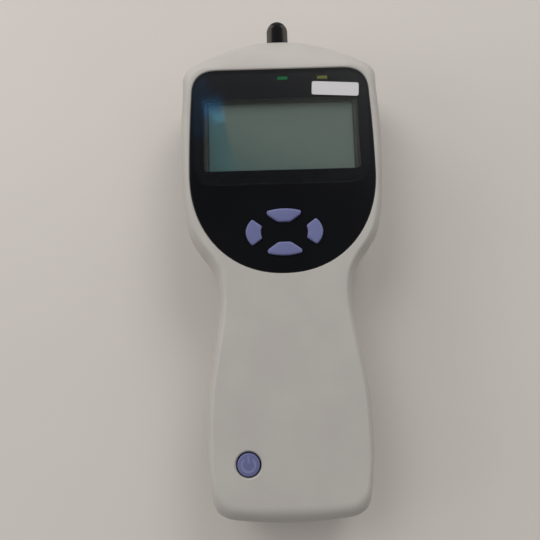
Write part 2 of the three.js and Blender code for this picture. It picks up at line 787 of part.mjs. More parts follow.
function make_rear_case() {
  const form = rear_form();
  const shell = form.subtract(rear_hollow());
  const bay_across = [-bay_outer_half, bay_outer_half];
  const bay = solid_of(block(bay_across, [grip_end_y, cover_high_y + bay_wall], [-overrun, bay_top_z]));
  const bosses = screw_places.map(([x, y]) => solid_of(upright_rod(x, y, boss_radius, 0, rear_high_z)));
  const post_top_z = main_board_bottom_z - seat_gap;
  const head_rows = [main_board_step_y + main_board_post_margin, main_board_high_y - main_board_post_margin];
  const head_posts = head_rows.flatMap((y) => [-1, 1].map((side) => {
    return solid_of(upright_rod(side * head_post_x, y, post_radius, wall / 2, post_top_z));
  }));
  const bay_rows = [main_board_low_y + post_diameter, cells_low_y + cell_pitch];
  const bay_posts = bay_rows.flatMap((y) => [-1, 1].map((side) => {
    return solid_of(upright_rod(side * grip_post_x, y, post_radius, bay_roof_z + bay_wall / 2, post_top_z));
  }));
  const collar = collar_half(0, rear_high_z);
  const inside = join(bay, collar, ...bosses, ...cradle_ribs(0, rear_high_z)).intersect(form);
  const body = join(shell, inside, ...head_posts, ...bay_posts);
  const gap = slide_gap;
  const hollow = block([-bay_half, bay_half], [bay_low_y, bay_high_y], [-overrun, bay_roof_z]);
  const past_end_y = grip_end_y - overrun;
  const cover_across = [-cover_half - gap, cover_half + gap];
  const rail_across = [-cover_half - cover_rail - gap, cover_half + cover_rail + gap];
  const cover_top_z = cover_thickness + gap;
  return cut(
    body,
    solid_of(hollow),
    solid_of(block(cover_across, [past_end_y, cover_high_y + gap], [-overrun, cover_top_z])),
    solid_of(block(cover_across, [past_end_y, bay_low_y + gap], [-overrun, cover_end_height + gap])),
    solid_of(block(rail_across, [past_end_y, cover_high_y + gap], [rail_bottom_z - gap, cover_top_z])),
    ...probe_clearance(),
    ...screw_holes(screw_recess - overrun, rear_high_z + overrun, screw_diameter / 2 + seat_gap),
    ...screw_holes(-overrun, screw_recess, screw_head_diameter / 2 + seat_gap),
  );
}

function make_battery_cover() {
  const across = [-cover_half, cover_half];
  const past_end_y = grip_end_y - overrun;
  const end_high_y = bay_low_y - slide_gap;
  const sheet = solid_of(block(across, [past_end_y, cover_high_y], [-overrun, cover_thickness]));
  const end_block = solid_of(block(across, [past_end_y, end_high_y], [-overrun, cover_end_height]));
  const rail_across = [-cover_half - cover_rail, cover_half + cover_rail];
  const rail = solid_of(block(rail_across, [past_end_y, cover_high_y], [rail_bottom_z, cover_thickness]));
  const cover = join(sheet, end_block, rail).intersect(rear_form());
  const scoop = new THREE.CylinderGeometry(fingertip_radius, fingertip_radius, fingertip_width, round_sides);
  scoop.rotateZ(Math.PI / 2);
  scoop.translate(0, grip_end_y - fingertip_radius + fingertip_depth * 2, cover_end_height / 2);
  const grooves = [];
  for (let i = 0; i < thumb_rib_count; i += 1) {
    const y = bay_low_y + thumb_rib_pitch * (i + 1);
    const across_rib = [-thumb_rib_length / 2, thumb_rib_length / 2];
    grooves.push(solid_of(block(across_rib, [y, y + thumb_rib_width], [-overrun, thumb_rib_depth])));
  }
  return cut(cover, solid_of(scoop), ...grooves);
}

function screw_profile() {
  const radius = screw_diameter / 2;
  const head_radius = screw_head_diameter / 2;
  return [
    [0, screw_seat_z - screw_head_height],
    [head_radius, screw_seat_z - screw_head_height],
    [head_radius, screw_seat_z],
    [radius, screw_seat_z],
    [radius, screw_tip_z - radius],
    [0, screw_tip_z],
  ];
}

function make_display_panel() {
  const sheet = solid_of(plate(panel_shape(0), panel_bottom_z, panel_top_z));
  const low_z = panel_bottom_z - overrun;
  const high_z = panel_top_z + overrun;
  const key_cuts = Object.values(key_outlines).map((outline) => {
    return solid_of(plate(outline(slide_gap), low_z, high_z));
  });
  return cut(
    sheet,
    solid_of(plate(window_shape(0), low_z, high_z)),
    solid_of(indicator_block(green_indicator_x, inlay_gap, low_z, high_z)),
    solid_of(indicator_block(yellow_indicator_x, inlay_gap, low_z, high_z)),
    ...key_cuts,
  );
}

function make_lcd_frame() {
  const half = window_half + lcd_side_margin;
  const along = [window_bottom_y - lcd_side_margin, window_top_y + lcd_side_margin];
  const frame = solid_of(block([-half, half], along, [lcd_bottom_z, lcd_top_z]));
  const open_half = window_half - lcd_mask_side;
  const open_along = [window_bottom_y + lcd_mask_bottom, window_top_y - lcd_mask_top];
  const opening = block([-open_half, open_half], open_along, [lcd_bottom_z - overrun, lcd_top_z + overrun]);
  const pocket_half = half - lcd_glass_inset;
  const pocket_along = [along[0] + lcd_glass_inset, along[1] - lcd_glass_inset];
  const pocket_z = [lcd_bottom_z - overrun, lcd_top_z - lcd_lip];
  const pocket = block([-pocket_half, pocket_half], pocket_along, pocket_z);
  return cut(frame, solid_of(opening), solid_of(pocket));
}

function lcd_layer(low_z, high_z) {
  const half = window_half + lcd_side_margin - lcd_glass_inset - seat_gap;
  const low_y = window_bottom_y - lcd_side_margin + lcd_glass_inset + seat_gap;
  const high_y = window_top_y + lcd_side_margin - lcd_glass_inset - seat_gap;
  return block([-half, half], [low_y, high_y], [low_z, high_z]);
}

// A key is lofted through rings of its outline: flange, cap and the bevel round its top
function make_key(outline) {
  const rings = [
    [key_flange, key_flange_bottom_z],
    [key_flange, tray_top_z],
    [0, tray_top_z],
    [0, key_top_z - key_bevel],
    [-key_bevel, key_top_z],
  ];
  return loft(rings.map(([grow, z]) => ring_of(outline(grow), z)));
}

function make_keypad_mat() {
  const sheet_top_z = mat_bottom_z + mat_thickness;
  const oval = oval_shape(keys_y, key_ring_a + mat_margin, key_ring_b + mat_margin);
  const sheet = solid_of(plate(oval, mat_bottom_z, sheet_top_z));
  const pads = Object.values(key_outlines).map((outline) => {
    return solid_of(plate(outline(-key_flange), mat_bottom_z, mat_pad_top_z));
  });
  return join(sheet, ...pads);
}

function power_key_profile() {
  const radius = power_key_diameter / 2;
  const top_z = face_z + power_key_rise;
  const flange_top_z = face_z - wall - seat_gap;
  const flange_bottom_z = flange_top_z - key_flange_thickness;
  const stem_bottom_z = switch_top_z + power_travel + seat_gap;
  return [
    [0, stem_bottom_z],
    [power_stem_diameter / 2, stem_bottom_z],
    [power_stem_diameter / 2, flange_bottom_z],
    [power_flange_diameter / 2, flange_bottom_z],
    [power_flange_diameter / 2, flange_top_z],
    [radius, flange_top_z],
    [radius, top_z - power_key_edge],
    [radius - power_key_edge, top_z],
    [0, top_z],
  ];
}

function make_power_switch() {
  const half = switch_size / 2;
  const across = [-power_key_x - half, -power_key_x + half];
  const along = [power_key_y - half, power_key_y + half];
  const body_top_z = switch_bottom_z + switch_body_height;
  const base = solid_of(block(across, along, [switch_bottom_z, body_top_z]));
  const plunger_radius = switch_plunger_diameter / 2;
  const plunger = upright_rod(-power_key_x, power_key_y, plunger_radius, switch_bottom_z, switch_top_z);
  return base.add(solid_of(plunger));
}

function main_board_shape() {
  const grip = main_board_grip_half;
  const head = main_board_head_half;
  return rounded_shape([
    [-grip, main_board_low_y],
    [grip, main_board_low_y],
    [grip, main_board_step_y],
    [head, main_board_step_y],
    [head, main_board_high_y],
    [-head, main_board_high_y],
    [-head, main_board_step_y],
    [-grip, main_board_step_y],
  ], post_radius / 2);
}

function cell_profile() {
  return [
    [0, 0],
    [cell_radius - cell_edge, 0],
    [cell_radius, cell_edge],
    [cell_radius, cell_length - cell_edge],
    [cell_radius - cell_edge, cell_length],
    [cell_nub_diameter / 2, cell_length],
    [cell_nub_diameter / 2, cell_length + cell_nub_height],
    [0, cell_length + cell_nub_height],
  ];
}

// A contact is a thin plate with a sprung cone on each column that needs one
function make_contact(plate_x, spring_columns, plate_y, points_up) {
  const direction = points_up ? 1 : -1;
  const half_height = cell_radius - cell_edge * 2;
  const along = points_up ? [plate_y, plate_y + contact_thickness] : [plate_y - contact_thickness, plate_y];
  const plates = solid_of(block(plate_x, along, [cell_z - half_height, cell_z + half_height]));
  const cones = spring_columns.map((x) => {
    const cone = turned([
      [0, 0],
      [contact_spring_diameter / 2, 0],
      [contact_spring_tip / 2, contact_thickness + contact_spring_length],
      [0, contact_thickness + contact_spring_length],
    ], inner_sides);
    if (direction < 0) {
      cone.rotateX(Math.PI);
    }
    return solid_of(cone.translate(x, plate_y, cell_z));
  });
  return join(plates, ...cones);
}

function motor_profile() {
  return [
    [0, motor_low_y],
    [motor_radius - motor_edge, motor_low_y],
    [motor_radius, motor_low_y + motor_edge],
    [motor_radius, motor_high_y - motor_edge],
    [motor_radius - motor_edge, motor_high_y],
    [0, motor_high_y],
  ];
}

const pump_port_z = motor_z + pump_head_height / 4;
const pump_port_y = pump_head_high_y - tube_diameter;
const valve_port_y = pump_head_low_y + tube_diameter;
const valve_low_y = valve_port_y - tube_diameter;
const valve_side_x = sensor_x - valve_radius;
const sensor_side_x = sensor_x - sensor_size / 2;
const sensor_z = (sensor_top_z + sensor_bottom_z) / 2;

function cross_rod(y, z, radius, x0, x1) {
  const geometry = new THREE.CylinderGeometry(radius, radius, x1 - x0, inner_sides);
  return geometry.rotateZ(Math.PI / 2).translate((x0 + x1) / 2, y, z);
}

function make_pump_head() {
  const across = [pump_x - pump_head_width / 2, pump_head_side_x];
  const tall = [motor_z - pump_head_height / 2, motor_z + pump_head_height / 2];
  const base = solid_of(block(across, [pump_head_low_y, pump_head_high_y], tall));
  const out_x = pump_head_side_x + port_length;
  const outlet = solid_of(cross_rod(pump_port_y, pump_port_z, port_radius, pump_x, out_x));
  const relief = solid_of(cross_rod(valve_port_y, valve_z, port_radius, pump_x, out_x));
  return join(base, outlet, relief);
}

function make_bleed_valve() {
  const coil = solid_of(long_rod(sensor_x, valve_z, valve_radius, valve_low_y, valve_low_y + valve_length));
  const port_from = valve_side_x - port_length;
  return coil.add(solid_of(cross_rod(valve_port_y, valve_z, port_radius, port_from, sensor_x)));
}

function make_pressure_sensor() {
  const half = sensor_size / 2;
  const across = [sensor_x - half, sensor_x + half];
  const base = solid_of(block(across, [sensor_y - half, sensor_y + half], [sensor_bottom_z, sensor_top_z]));
  const port_from = sensor_side_x - port_length;
  return base.add(solid_of(cross_rod(sensor_y, sensor_z, port_radius, port_from, sensor_x)));
}

function tube_along(points) {
  const section = new THREE.Shape();
  section.absarc(0, 0, tube_radius, 0, Math.PI * 2);
  const settings = {
    steps: tube_steps,
    curveSegments: tube_sides / 2,
    bevelEnabled: false,
    extrudePath: new THREE.CubicBezierCurve3(...points),
  };
  return new THREE.ExtrudeGeometry(section, settings);
}

// A tube from a side port to the back of the probe holder
function probe_tube(side, port_x, port_y, port_z) {
  const start = new THREE.Vector3(port_x, port_y, port_z);
  const end = new THREE.Vector3(side * tube_spacing / 2, holder_low_y - seat_gap, axis_z);
  const start_lead = start.clone().setX(port_x - side * tube_lead);
  const end_lead = end.clone().setY(end.y - tube_lead);
  return tube_along([start, start_lead, end_lead, end]);
}

function straight_tube(from_x, to_x, y, z) {
  return cross_rod(y, z, tube_radius, from_x, to_x);
}

function spigot_profile() {
  return [
    [port_radius, spigot_low_y],
    [spigot_radius, spigot_low_y],
    [spigot_radius, flange_low_y],
    [flange_radius, flange_low_y],
    [flange_radius, flange_high_y],
    [spigot_radius, flange_high_y],
    [spigot_radius, spigot_high_y],
    [port_radius, spigot_high_y],
    [port_radius, spigot_low_y],
  ];
}

function nose_profile() {
  const dome_y = nose_tip_y - Math.sqrt(nose_radius ** 2 - port_radius ** 2);
  const points = [[nose_bore_radius, nose_base_y], [nose_radius, nose_base_y], [nose_radius, dome_y]];
  const port_turn = Math.acos(port_radius / nose_radius);
  for (let step = 1; step <= dome_steps; step += 1) {
    const turn = port_turn * step / dome_steps;
    points.push([nose_radius * Math.cos(turn), dome_y + nose_radius * Math.sin(turn)]);
  }
  points.push([port_radius, nose_bore_end_y], [nose_bore_radius, nose_bore_end_y]);
  points.push([nose_bore_radius, nose_base_y]);
  return points;
}

// Assembly
const tester = new THREE.Group();

function place(name, geometry, material, carrier = tester) {
  const mesh = new THREE.Mesh(geometry, material);
  mesh.name = name;
  carrier.add(mesh);
  return mesh;
}

function place_solid(name, solid, material) {
  return place(name, geometry_of(solid), material);
}

function add_housing() {
  place_solid('front_case', make_front_case(), case_plastic);
  place_solid('rear_case', make_rear_case(), case_plastic);
  place_solid('battery_cover', make_battery_cover(), case_plastic);
  screw_places.forEach(([x, y], i) => {
    place(`housing_screw_${i + 1}`, turned_upright(screw_profile(), x, y, inner_sides), steel);
  });
}

function add_display() {
  place_solid('display_panel', make_display_panel(), panel_gloss);
  place('display_window', plate(window_shape(-inlay_gap), panel_bottom_z, panel_top_z), clear_plastic);
  const film_half = panel_half - film_side;
  const film_high_y = panel_top_y - film_side;
  const film_along = [film_high_y - film_length, film_high_y];
  const film_outline = rounded_box_shape([-film_half, film_half], film_along, film_corner);
  place('screen_film', plate(film_outline, film_bottom_z, film_top_z), clear_plastic);
  const label_outline = rounded_box_shape(
    [-label_width / 2, label_width / 2],
    [-label_height / 2, label_height / 2],
    label_corner,
  );
  const label = place('film_label', plate(label_outline, 0, film_thickness), label_paper);
  label.position.set(panel_half - label_from_side, panel_top_y - label_from_top, label_bottom_z);
  label.rotation.z = label_turn;
  place_solid('lcd_frame', make_lcd_frame(), dark_plastic);
  const glass_top_z = lcd_top_z - lcd_lip - seat_gap / 3;
  const glass_bottom_z = glass_top_z - lcd_glass_thickness;
  place('lcd_glass', lcd_layer(glass_bottom_z, glass_top_z), lcd_face);
  place('lcd_backlight', lcd_layer(lcd_bottom_z, glass_bottom_z - seat_gap / 3), white_plastic);
  const board_outline = panel_shape(display_board_inset);
  place('display_board', plate(board_outline, display_board_bottom_z, display_board_top_z), board_green);
}

function add_indicator(colour_name, x, material) {
  const led_bottom_z = display_board_top_z + seat_gap;
  const led_top_z = led_bottom_z + led_height;
  const across = [x - led_width / 2, x + led_width / 2];
  const along = [indicator_y - led_length / 2, indicator_y + led_length / 2];
  place(`${colour_name}_led`, block(across, along, [led_bottom_z, led_top_z]), white_plastic);
  place(`${colour_name}_indicator`, indicator_block(x, 0, led_top_z + seat_gap, panel_top_z), material);
}

function add_keys() {
  for (const [name, outline] of Object.entries(key_outlines)) {
    place(name, make_key(outline), key_plastic);
  }
  place_solid('keypad_mat', make_keypad_mat(), soft_rubber);
  place('power_key', turned_upright(power_key_profile(), -power_key_x, power_key_y), power_plastic);
  place_solid('power_switch', make_power_switch(), dark_plastic);
}

function add_boards() {
  place('main_board', plate(main_board_shape(), main_board_bottom_z, main_board_top_z), board_green);
  const chip_y = window_mid_y;
  const half = chip_size / 2;
  const chip_bottom_z = main_board_top_z + seat_gap;
  const chip_z = [chip_bottom_z, chip_bottom_z + chip_height];
  place('processor_chip', block([-half, half], [chip_y - chip_size, chip_y], chip_z), chip_black);
  const across = [-connector_width / 2, connector_width / 2];
  const connector_z = [chip_bottom_z, display_board_bottom_z - seat_gap];
  place('board_connector', block(across, [keys_y, keys_y + connector_length], connector_z), dark_plastic);
}

function add_cells() {
  let number = 1;
  for (const [side, points_up] of [[-1, true], [1, false]]) {
    for (let row = 0; row < 2; row += 1) {
      const cell = turned(cell_profile(), cell_sides);
      const low_y = cells_low_y + cell_pitch * row;
      if (points_up) {
        cell.translate(side * cell_x, low_y, cell_z);
      } else {
        cell.rotateX(Math.PI).translate(side * cell_x, low_y + cell_length + cell_nub_height, cell_z);
      }
      place(`battery_${number}`, cell, cell_wrap);
      number += 1;
    }
  }
  const reach = bay_half - cell_edge;
  const low_plate_y = bay_low_y + seat_gap;
  const high_plate_y = bay_high_y - seat_gap;
  place_solid('contact_bridge', make_contact([-reach, reach], [-cell_x], low_plate_y, true), steel);
  place_solid('plus_contact', make_contact([-reach, -cell_edge], [-cell_x], high_plate_y, false), steel);
  place_solid('minus_contact', make_contact([cell_edge, reach], [cell_x], high_plate_y, false), steel);
}

function add_air_system() {
  place('pump_motor', turned(motor_profile()).translate(pump_x, 0, motor_z), steel);
  place_solid('pump_head', make_pump_head(), dark_plastic);
  place_solid('bleed_valve', make_bleed_valve(), brass);
  place_solid('pressure_sensor', make_pressure_sensor(), white_plastic);
  const pump_end_x = pump_head_side_x + port_length + seat_gap;
  const valve_end_x = valve_side_x - port_length - seat_gap;
  const sensor_end_x = sensor_side_x - port_length - seat_gap;
  place('pump_tube', probe_tube(-1, pump_end_x, pump_port_y, pump_port_z), clear_tube);
  place('sensor_tube', probe_tube(1, sensor_end_x, sensor_y, sensor_z), clear_tube);
  place('valve_tube', straight_tube(pump_end_x, valve_end_x, valve_port_y, valve_z), clear_tube);
}

function add_probe() {
  const holder = solid_of(long_rod(0, axis_z, holder_radius, holder_low_y, holder_high_y));
  const bore = solid_of(long_rod(0, axis_z, holder_bore_radius, holder_bore_y, holder_high_y + overrun));
  place_solid('probe_holder', holder.subtract(bore), dark_plastic);
  const speaker_high_y = speaker_low_y + speaker_length;
  const microphone_high_y = microphone_low_y + microphone_length;
  place('probe_speaker', long_rod(0, axis_z, spigot_radius, speaker_low_y, speaker_high_y), steel);
  place('probe_microphone', long_rod(0, axis_z, spigot_radius, microphone_low_y, microphone_high_y), brass);
  place('probe_spigot', turned(spigot_profile()).translate(0, 0, axis_z), white_plastic);
  const seal_inner = spigot_radius + seat_gap;
  const seal_outer = nose_radius;
  const seal_profile = [
    [seal_inner, seal_low_y],
    [seal_outer, seal_low_y],
    [seal_outer, seal_high_y],
    [seal_inner, seal_high_y],
    [seal_inner, seal_low_y],
  ];
  place('probe_seal', turned(seal_profile).translate(0, 0, axis_z), soft_rubber);
  place('nose_cone', turned(nose_profile()).translate(0, 0, axis_z), nose_plastic);
}

add_housing();
add_display();
add_indicator('green', green_indicator_x, green_plastic);
add_indicator('yellow', yellow_indicator_x, yellow_plastic);
add_keys();
add_boards();
add_cells();
add_air_system();
add_probe();

export default tester;
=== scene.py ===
import math

import bmesh
import bpy
from mathutils import Matrix, Vector


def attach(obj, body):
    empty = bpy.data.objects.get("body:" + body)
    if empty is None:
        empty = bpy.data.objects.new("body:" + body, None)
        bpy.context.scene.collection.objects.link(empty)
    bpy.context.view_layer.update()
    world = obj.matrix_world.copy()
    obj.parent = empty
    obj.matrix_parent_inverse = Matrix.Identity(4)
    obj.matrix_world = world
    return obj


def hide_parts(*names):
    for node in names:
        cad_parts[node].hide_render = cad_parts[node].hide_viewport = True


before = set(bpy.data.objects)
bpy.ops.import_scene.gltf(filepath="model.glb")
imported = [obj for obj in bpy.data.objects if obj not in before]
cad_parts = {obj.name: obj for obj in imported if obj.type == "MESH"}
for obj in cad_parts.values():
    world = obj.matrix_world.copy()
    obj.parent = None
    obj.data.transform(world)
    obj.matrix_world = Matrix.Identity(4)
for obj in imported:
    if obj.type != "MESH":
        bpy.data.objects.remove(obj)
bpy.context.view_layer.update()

# Sizes in millimetres, as the solids have them. X across, Y towards the probe, Z up.
METRE = 0.001
BODY_LENGTH = 190.0
HEAD_HALF = 40.0
WAIST_HALF = 25.5
GRIP_HALF = 31.0
GRIP_END_Y = -99.6
PROBE_END_Y = 90.4
NOSE_TIP_Y = 99.6
PARTING_Z = 22.0
FACE_Z = 39.2
WALL = 2.2
SEAM = 0.3
GAP = 0.3

# How far cuts reach past what they cut, and small offsets that keep faces out of one plane
OVERRUN = 5.0
SHORT_OVERRUN = 1.0
HAIR = 0.02

# Camera, fitted to the photograph
CAMERA_PLACE = (-5.74, -35.86, 235.3)
CAMERA_TILT = 8.0
CAMERA_ROLL = -1.6
CAMERA_LENS = 36.07
CAMERA_SENSOR = 36.0
CAMERA_NEAR = 0.01


def make_camera():
    tilt = math.radians(CAMERA_TILT)
    roll = math.radians(CAMERA_ROLL)
    ahead = Vector((0.0, math.sin(tilt), -math.cos(tilt)))
    right = Vector((math.cos(roll), math.sin(roll) * math.cos(tilt), math.sin(roll) * math.sin(tilt)))
    above = right.cross(ahead)
    data = bpy.data.cameras.new("camera")
    data.sensor_width = CAMERA_SENSOR
    data.lens = CAMERA_LENS
    data.clip_start = CAMERA_NEAR
    camera = bpy.data.objects.new("camera", data)
    bpy.context.scene.collection.objects.link(camera)
    turn = Matrix((right, above, -ahead)).transposed().to_4x4()
    camera.matrix_world = Matrix.Translation(Vector(CAMERA_PLACE) * METRE) @ turn
    bpy.context.scene.camera = camera


make_camera()


# Shape tools. Every form is worked in millimetres and turned to metres when it becomes a piece.
MERGE_DISTANCE = 1e-5
ROUND_STEPS = 64
FINE_STEPS = 96
ROD_STEPS = 24
EDGE_SEGMENTS = 2
Z_AXIS = (0.0, 0.0, 1.0)
ORIGIN = (0.0, 0.0, 0.0)


def to_object(form, name):
    mesh = bpy.data.meshes.new(name)
    form.to_mesh(mesh)
    form.free()
    made = bpy.data.objects.new(name, mesh)
    bpy.context.scene.collection.objects.link(made)
    return made


def boolean(base, tool, operation):
    """base joined with, cut by or kept inside tool. Both are closed forms and are used up."""
    held = to_object(base, "held")
    other = to_object(tool, "tool")
    modifier = held.modifiers.new("shape", "BOOLEAN")
    modifier.operation = operation
    modifier.solver = "EXACT"
    modifier.object = other
    bpy.context.view_layer.update()
    evaluated = held.evaluated_get(bpy.context.evaluated_depsgraph_get())
    mesh = bpy.data.meshes.new_from_object(evaluated)
    result = bmesh.new()
    result.from_mesh(mesh)
    bpy.data.meshes.remove(mesh)
    for used in (held, other):
        bpy.data.meshes.remove(used.data)
    return result


def cut(base, *tools):
    for tool in tools:
        base = boolean(base, tool, "DIFFERENCE")
    return base


def join(base, *tools):
    for tool in tools:
        base = boolean(base, tool, "UNION")
    return base


def inside(base, limit):
    return boolean(base, limit, "INTERSECT")


def gathered(*forms):
    """Separate closed forms as one."""
    whole = bmesh.new()
    for form in forms:
        mesh = bpy.data.meshes.new("part")
        form.to_mesh(mesh)
        form.free()
        whole.from_mesh(mesh)
        bpy.data.meshes.remove(mesh)
    return whole


def skin(rings):
    """A closed form drawn out from its first ring of points to its last, one ring at a time."""
    form = bmesh.new()
    order = form.verts.layers.int.new("order")
    corners = [form.verts.new(point) for point in rings[0]]
    for number, corner in enumerate(corners):
        corner[order] = number
    form.faces.new(corners)
    edges = list(form.edges)
    for ring in rings[1:]:
        drawn = bmesh.ops.extrude_edge_only(form, edges=edges)["geom"]
        edges = [item for item in drawn if isinstance(item, bmesh.types.BMEdge)]
        for item in drawn:
            if isinstance(item, bmesh.types.BMVert):
                item.co = ring[item[order]]
    bmesh.ops.contextual_create(form, geom=edges)
    form.verts.layers.int.remove(order)
    bmesh.ops.recalc_face_normals(form, faces=form.faces)
    return form


def at(outline, z):
    return [Vector((point[0], point[1], z)) for point in outline]


def prism(outline, low, high):
    return skin([at(outline, low), at(outline, high)])


def layered(outline_of, steps):
    """A form through rings, each given as how far the outline grows and its height."""
    return skin([at(outline_of(grow), z) for grow, z in steps])


def box(x, y, z, edge=0.0):
    """A box from its spans along the axes, its edges rounded if a width is given."""
    form = bmesh.new()
    bmesh.ops.create_cube(form, size=1.0)
    size = Vector((x[1] - x[0], y[1] - y[0], z[1] - z[0]))
    bmesh.ops.scale(form, vec=size, verts=form.verts)
    move(form, Vector((sum(x) / 2, sum(y) / 2, sum(z) / 2)))
    if edge:
        bmesh.ops.bevel(form, geom=list(form.edges), offset=edge, offset_type="OFFSET", affect="EDGES",
                        segments=EDGE_SEGMENTS, profile=0.5, material=-1, clamp_overlap=True)
    return form


def turned(profile, steps=ROUND_STEPS):
    """A closed form spun about the Z axis from points of (radius, height)."""
    form = bmesh.new()
    points = [form.verts.new((radius, 0.0, height)) for radius, height in profile]
    lines = [form.edges.new(pair) for pair in zip(points, points[1:])]
    bmesh.ops.spin(form, geom=points + lines, axis=Z_AXIS, cent=ORIGIN, dvec=ORIGIN,
                   angle=math.tau, steps=steps, use_merge=True)
    bmesh.ops.remove_doubles(form, verts=form.verts, dist=MERGE_DISTANCE)
    bmesh.ops.recalc_face_normals(form, faces=form.faces)
    return form


def move(form, place):
    bmesh.ops.translate(form, vec=place, verts=form.verts)
    return form


def turn_about(form, axis, degrees):
    turn = Matrix.Rotation(math.radians(degrees), 3, axis)
    bmesh.ops.rotate(form, cent=ORIGIN, matrix=turn, verts=form.verts)
    return form


def upright(profile, x, y, steps=ROUND_STEPS):
    return move(turned(profile, steps), (x, y, 0.0))


def lengthwise(profile, x, z, steps=ROUND_STEPS):
    """A turned form whose heights run along Y."""
    return move(turn_about(turned(profile, steps), "X", -90.0), (x, 0.0, z))


def rod(radius, low, high):
    return [(0.0, low), (radius, low), (radius, high), (0.0, high)]


SMOOTH_ANGLE = 32.0


def finished(form, name, material, body, slot, *nodes, angle=SMOOTH_ANGLE):
    """The form as a piece of the scene, in metres, riding on a body."""
    bmesh.ops.scale(form, vec=(METRE, METRE, METRE), verts=form.verts)
    bmesh.ops.remove_doubles(form, verts=form.verts, dist=MERGE_DISTANCE * METRE)
    bmesh.ops.dissolve_degenerate(form, edges=form.edges, dist=MERGE_DISTANCE * METRE / 10)
    made = to_object(form, name)
    made.data.shade_smooth()
    made.data.set_sharp_from_angle(angle=math.radians(angle))
    made.data.materials.append(material)
    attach(made, body)
    if nodes:
        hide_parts(*nodes)
    return made


# Outlines
CORNER_SHARE = 0.45
CORNER_STEPS = 6
OVAL_STEPS = 48


def rounded(corners, radius, steps=CORNER_STEPS):
    """An outline with rounded corners. A corner with a third value is on a curve and stays as it is."""
    points = []
    count = len(corners)
    for number, corner in enumerate(corners):
        here = Vector(corner[:2])
        if len(corner) > 2:
            points.append(here)
            continue
        before = Vector(corners[number - 1][:2]) - here
        after = Vector(corners[(number + 1) % count][:2]) - here
        enter = here + before.normalized() * min(radius, before.length * CORNER_SHARE)
        leave = here + after.normalized() * min(radius, after.length * CORNER_SHARE)
        for step in range(steps + 1):
            share = step / steps
            points.append(enter * (1 - share) ** 2 + here * 2 * share * (1 - share) + leave * share ** 2)
    return points


def rounded_box(x, y, radius, steps=CORNER_STEPS):
    return rounded([(x[0], y[0]), (x[1], y[0]), (x[1], y[1]), (x[0], y[1])], radius, steps)


def oval(centre_y, half_x, half_y):
    turns = [math.tau * step / OVAL_STEPS for step in range(OVAL_STEPS)]
    return [Vector((half_x * math.cos(turn), centre_y + half_y * math.sin(turn))) for turn in turns]


# Plan of the housing, right side, from the grip end to the probe end: the half width that a row
# follows, then shares across and along of the widest edge, the flat of the face and the flat of
# the back, and the power of the face's rounded section.
PLAN_ROWS = [
    (GRIP_HALF, 0, 0, 0, 0.047, 0, 0.05, 2.2),
    (GRIP_HALF, 0.499, 0.0045, 0.52, 0.0486, 0.403, 0.051, 2.2),
    (GRIP_HALF, 0.78, 0.0124, 0.7, 0.0536, 0.548, 0.059, 2.2),
    (GRIP_HALF, 0.891, 0.0271, 0.822, 0.0726, 0.645, 0.076, 2.2),
    (GRIP_HALF, 0.969, 0.0972, 0.866, 0.1046, 0.684, 0.108, 2.2),
    (GRIP_HALF, 1, 0.1626, 0.877, 0.1656, 0.697, 0.1686, 2),
    (GRIP_HALF, 0.977, 0.2476, 0.855, 0.2476, 0.674, 0.2476, 2),
    (GRIP_HALF, 0.903, 0.3266, 0.781, 0.3236, 0.603, 0.3206, 2),
    (WAIST_HALF, 1.016, 0.3946, 0.867, 0.3926, 0.647, 0.3896, 2),
    (WAIST_HALF, 1, 0.4426, 0.851, 0.4446, 0.627, 0.4446, 2),
    (WAIST_HALF, 1.043, 0.4736, 0.894, 0.4786, 0.675, 0.4846, 2),
    (HEAD_HALF, 0.735, 0.5006, 0.645, 0.5096, 0.538, 0.5286, 2),
    (HEAD_HALF, 0.83, 0.5276, 0.74, 0.5366, 0.64, 0.5576, 2),
    (HEAD_HALF, 0.91, 0.5566, 0.81, 0.5646, 0.705, 0.5826, 2),
    (HEAD_HALF, 0.96, 0.5996, 0.857, 0.6046, 0.733, 0.6146, 2),
    (HEAD_HALF, 0.985, 0.6626, 0.882, 0.6646, 0.75, 0.6686, 2),
    (HEAD_HALF, 1, 0.7686, 0.895, 0.7686, 0.763, 0.7686, 2),
    (HEAD_HALF, 0.982, 0.8608, 0.875, 0.8476, 0.748, 0.8476, 1.9),
    (HEAD_HALF, 0.971, 0.9173, 0.843, 0.8766, 0.713, 0.89, 1.7),
    (HEAD_HALF, 0.84, 0.9419, 0.765, 0.8936, 0.65, 0.911, 1.5),
    (HEAD_HALF, 0.646, 0.9678, 0.575, 0.8971, 0.538, 0.927, 1.45),
    (HEAD_HALF, 0.298, 0.9931, 0.3, 0.8971, 0.3, 0.945, 1.45),
    (HEAD_HALF, 0, 1, 0, 0.8971, 0, 0.95, 1.45),
]
STEPS_PER_ROW = 7


def curve_point(before, start, end, after, share):
    """A point between start and end on the curve that passes smoothly through all four."""
    spans = [math.sqrt((b - a).length) for a, b in ((before, start), (start, end), (end, after))]
    leaving = (start - before) / spans[0] - (end - before) / (spans[0] + spans[1]) + (end - start) / spans[1]
    arriving = (end - start) / spans[1] - (after - start) / (spans[1] + spans[2]) + (after - end) / spans[2]
    leaving *= spans[1]
    arriving *= spans[1]
    bend = 3 * (end - start) - 2 * leaving - arriving
    twist = 2 * (start - end) + leaving + arriving
    return start + leaving * share + bend * share ** 2 + twist * share ** 3


def plan_line(across, along):
    right = [Vector((row[0] * row[across], GRIP_END_Y + BODY_LENGTH * row[along])) for row in PLAN_ROWS]
    left = [Vector((-point.x, point.y)) for point in right[-2:0:-1]]
    rows = right + left
    count = len(rows)
    points = []
    for number in range(count):
        four = [rows[(number + shift) % count] for shift in (-1, 0, 1, 2)]
        points += [curve_point(*four, step / STEPS_PER_ROW) for step in range(STEPS_PER_ROW)]
    return points


